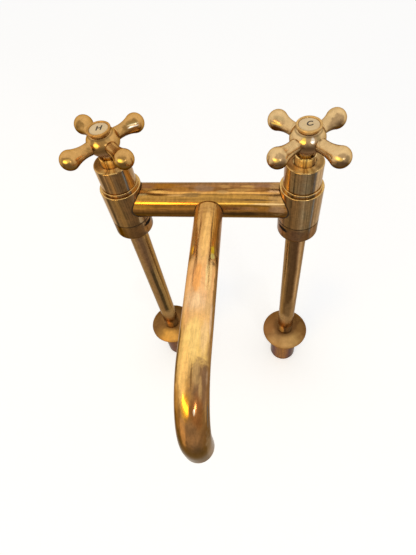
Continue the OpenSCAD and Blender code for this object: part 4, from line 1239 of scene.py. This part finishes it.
# %% Domed porcelain discs
DOME_RISE = 0.38 * MM
DISC_RINGS = 9
DISC_EDGE = 0.15 * MM
disc_r = span("cold_index_disc").x / 2


def deselect():
    """Nothing selected, in object mode."""
    if bpy.context.object is not None and bpy.context.object.mode != "OBJECT":
        bpy.ops.object.mode_set(mode="OBJECT")
    bpy.ops.object.select_all(action="DESELECT")


def round_bar(name, radius, length, place, direction=(0, 0, 1)):
    """A closed cylinder round a line, with its place kept in its mesh."""
    deselect()
    turned = Vector(direction).to_track_quat("Z", "Y").to_euler()
    bpy.ops.mesh.primitive_cylinder_add(vertices=128, radius=radius, depth=length, location=place,
                                        rotation=turned)
    made = bpy.context.object
    made.name = name
    bpy.ops.object.transform_apply(location=True, rotation=True, scale=True)
    return made


def rounded(piece, width, segments, sharp):
    """Rounds every edge that is sharper than so many degrees."""
    edge = piece.modifiers.new("edge", "BEVEL")
    edge.width = width
    edge.segments = segments
    edge.limit_method = "ANGLE"
    edge.angle_limit = math.radians(sharp)
    bpy.context.view_layer.objects.active = piece
    bpy.ops.object.modifier_apply(modifier=edge.name)


def select_top(piece):
    """Selects only the faces that look up, in face mode of edit mode."""
    bpy.context.view_layer.objects.active = piece
    bpy.ops.object.mode_set(mode="EDIT")
    bpy.ops.mesh.select_mode(type="FACE")
    bpy.ops.mesh.select_all(action="DESELECT")
    bpy.ops.object.mode_set(mode="OBJECT")
    for face in piece.data.polygons:
        face.select = face.normal.z > 0.9
    bpy.ops.object.mode_set(mode="EDIT")


def porcelain_disc(side):
    """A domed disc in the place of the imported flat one."""
    low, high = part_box(side + "_index_disc")
    edge_top = high.z - DISC_EDGE
    place = (middle(side + "_index_disc").x, 0, (low.z + edge_top) / 2)
    disc = round_bar(side + "_porcelain_face", disc_r, edge_top - low.z, place)
    select_top(disc)
    step = disc_r / (DISC_RINGS + 0.5)
    for ring in range(DISC_RINGS):
        outer = 1 - ring * step / disc_r
        inner = outer - step / disc_r
        bpy.ops.mesh.inset(thickness=step, depth=(outer * outer - inner * inner) * DOME_RISE)
    bpy.ops.object.mode_set(mode="OBJECT")
    rounded(disc, 0.2 * MM, 3, 50)
    bpy.ops.object.shade_smooth_by_angle(angle=math.radians(40))
    wear(disc, porcelain)
    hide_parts(side + "_index_disc")
    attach(disc, side + "_handle")
    return disc


discs = {side: porcelain_disc(side) for side in SIDES}
print("Domed discs of %.1f mm with" % (2 * disc_r / MM),
      [len(disc.data.polygons) for disc in discs.values()], "faces")

# %% [markdown]
# A tap's discs say which water they give. A plain H and C do that. Text starts as a curve object. It
# becomes a mesh first, and only then is its place applied, so that it ends up in the same frame as all the
# rest. The letters stand up from inside the dome by a few hundredths of a millimetre, as thick ink under
# glaze does.

# %% Letters on the discs
LETTERS = {"hot": "H", "cold": "C"}
LETTER_SIZE = 6.6 * MM
LETTER_TURN = math.radians(14)
LETTER_SLANT = 0.22
STROKE_EXTRA = 0.2 * MM
INK_DEPTH = 0.12 * MM
INK_RAISED = 0.03 * MM


def letter(side):
    """One generic letter, lying on its disc."""
    deselect()
    disc = side + "_index_disc"
    ink_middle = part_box(disc)[1].z - DISC_EDGE + DOME_RISE + INK_RAISED - INK_DEPTH
    bpy.ops.object.text_add(location=(middle(disc).x, 0, ink_middle), rotation=(0, 0, LETTER_TURN))
    made = bpy.context.object
    made.name = side + "_letter"
    made.data.body = LETTERS[side]
    made.data.align_x = "CENTER"
    made.data.align_y = "CENTER"
    made.data.size = LETTER_SIZE
    made.data.shear = LETTER_SLANT
    made.data.offset = STROKE_EXTRA
    made.data.extrude = INK_DEPTH
    made.data.resolution_u = 8
    bpy.ops.object.convert(target="MESH")
    bpy.ops.object.transform_apply(location=True, rotation=True, scale=True)
    wear(made, ink)
    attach(made, side + "_handle")
    return made


letters = {side: letter(side) for side in SIDES}
print("Letters have", [len(made.data.polygons) for made in letters.values()], "faces")

# %% [markdown]
# ## Braze seams
#
# The bridge is brazed to the valve bodies, and the spout to the bridge. A thin bead of solder, dark with
# oxide, fills each corner. Its line is where two round tubes meet, which is awkward to draw but easy to
# cut: one tube made slightly thicker, kept only where it lies just outside the other, leaves exactly that
# bead.

# %% Braze beads
SPOUT_BEAD = 0.5 * MM
BODY_BEAD = 0.45 * MM
BITE = 0.1 * MM


def combine(piece, tool, how):
    """Joins, keeps or cuts a piece with a tool, which is then thrown away."""
    deselect()
    modifier = piece.modifiers.new(how.lower(), "BOOLEAN")
    modifier.operation = how
    modifier.solver = "EXACT"
    modifier.object = tool
    bpy.context.view_layer.objects.active = piece
    bpy.ops.object.modifier_apply(modifier=modifier.name)
    bpy.data.objects.remove(tool, do_unlink=True)


def braze_bead(name, branch, main, bead, rounding=0.0):
    """A bead where a branch tube meets a main tube. Each is a radius, a length, a place and a direction."""
    piece = round_bar(name, branch[0] + bead, *branch[1:])
    core = round_bar("inside_branch", branch[0] - BITE, *branch[1:])
    if rounding:
        rounded(piece, rounding + bead, 8, 60)
        rounded(core, rounding - BITE, 8, 60)
    combine(piece, round_bar("near_main", main[0] + bead, *main[1:]), "INTERSECT")
    combine(piece, round_bar("inside_main", main[0] - BITE, *main[1:]), "DIFFERENCE")
    combine(piece, core, "DIFFERENCE")
    deselect()
    piece.select_set(True)
    bpy.context.view_layer.objects.active = piece
    bpy.ops.object.shade_smooth_by_angle(angle=math.radians(50))
    wear(piece, oxide)
    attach(piece, "tap_frame")
    return piece


spout_way = Vector((math.sin(spout_lean), -math.cos(spout_lean), 0))
bridge_centre = Vector((0, 0, bridge_z))
root_end = bridge_r - spout_root_in - spout_root_round - SPOUT_BEAD
spout_bar = (spout_r, 30 * MM, bridge_centre + (root_end + 15 * MM) * spout_way, spout_way)
bridge_bar = (bridge_r, 60 * MM, bridge_centre, (1, 0, 0))
beads = [braze_bead("spout_braze", spout_bar, bridge_bar, SPOUT_BEAD, spout_root_round)]
for side, way in SIDES.items():
    bridge_end = (bridge_r, 30 * MM, (way * (column_x - 15 * MM), 0, bridge_z), (1, 0, 0))
    body = (body_r, 60 * MM, (way * column_x, 0, bridge_z), UP)
    beads.append(braze_bead(side + "_bridge_braze", bridge_end, body, BODY_BEAD))
print("Braze beads:", {bead.name: len(bead.data.polygons) for bead in beads})
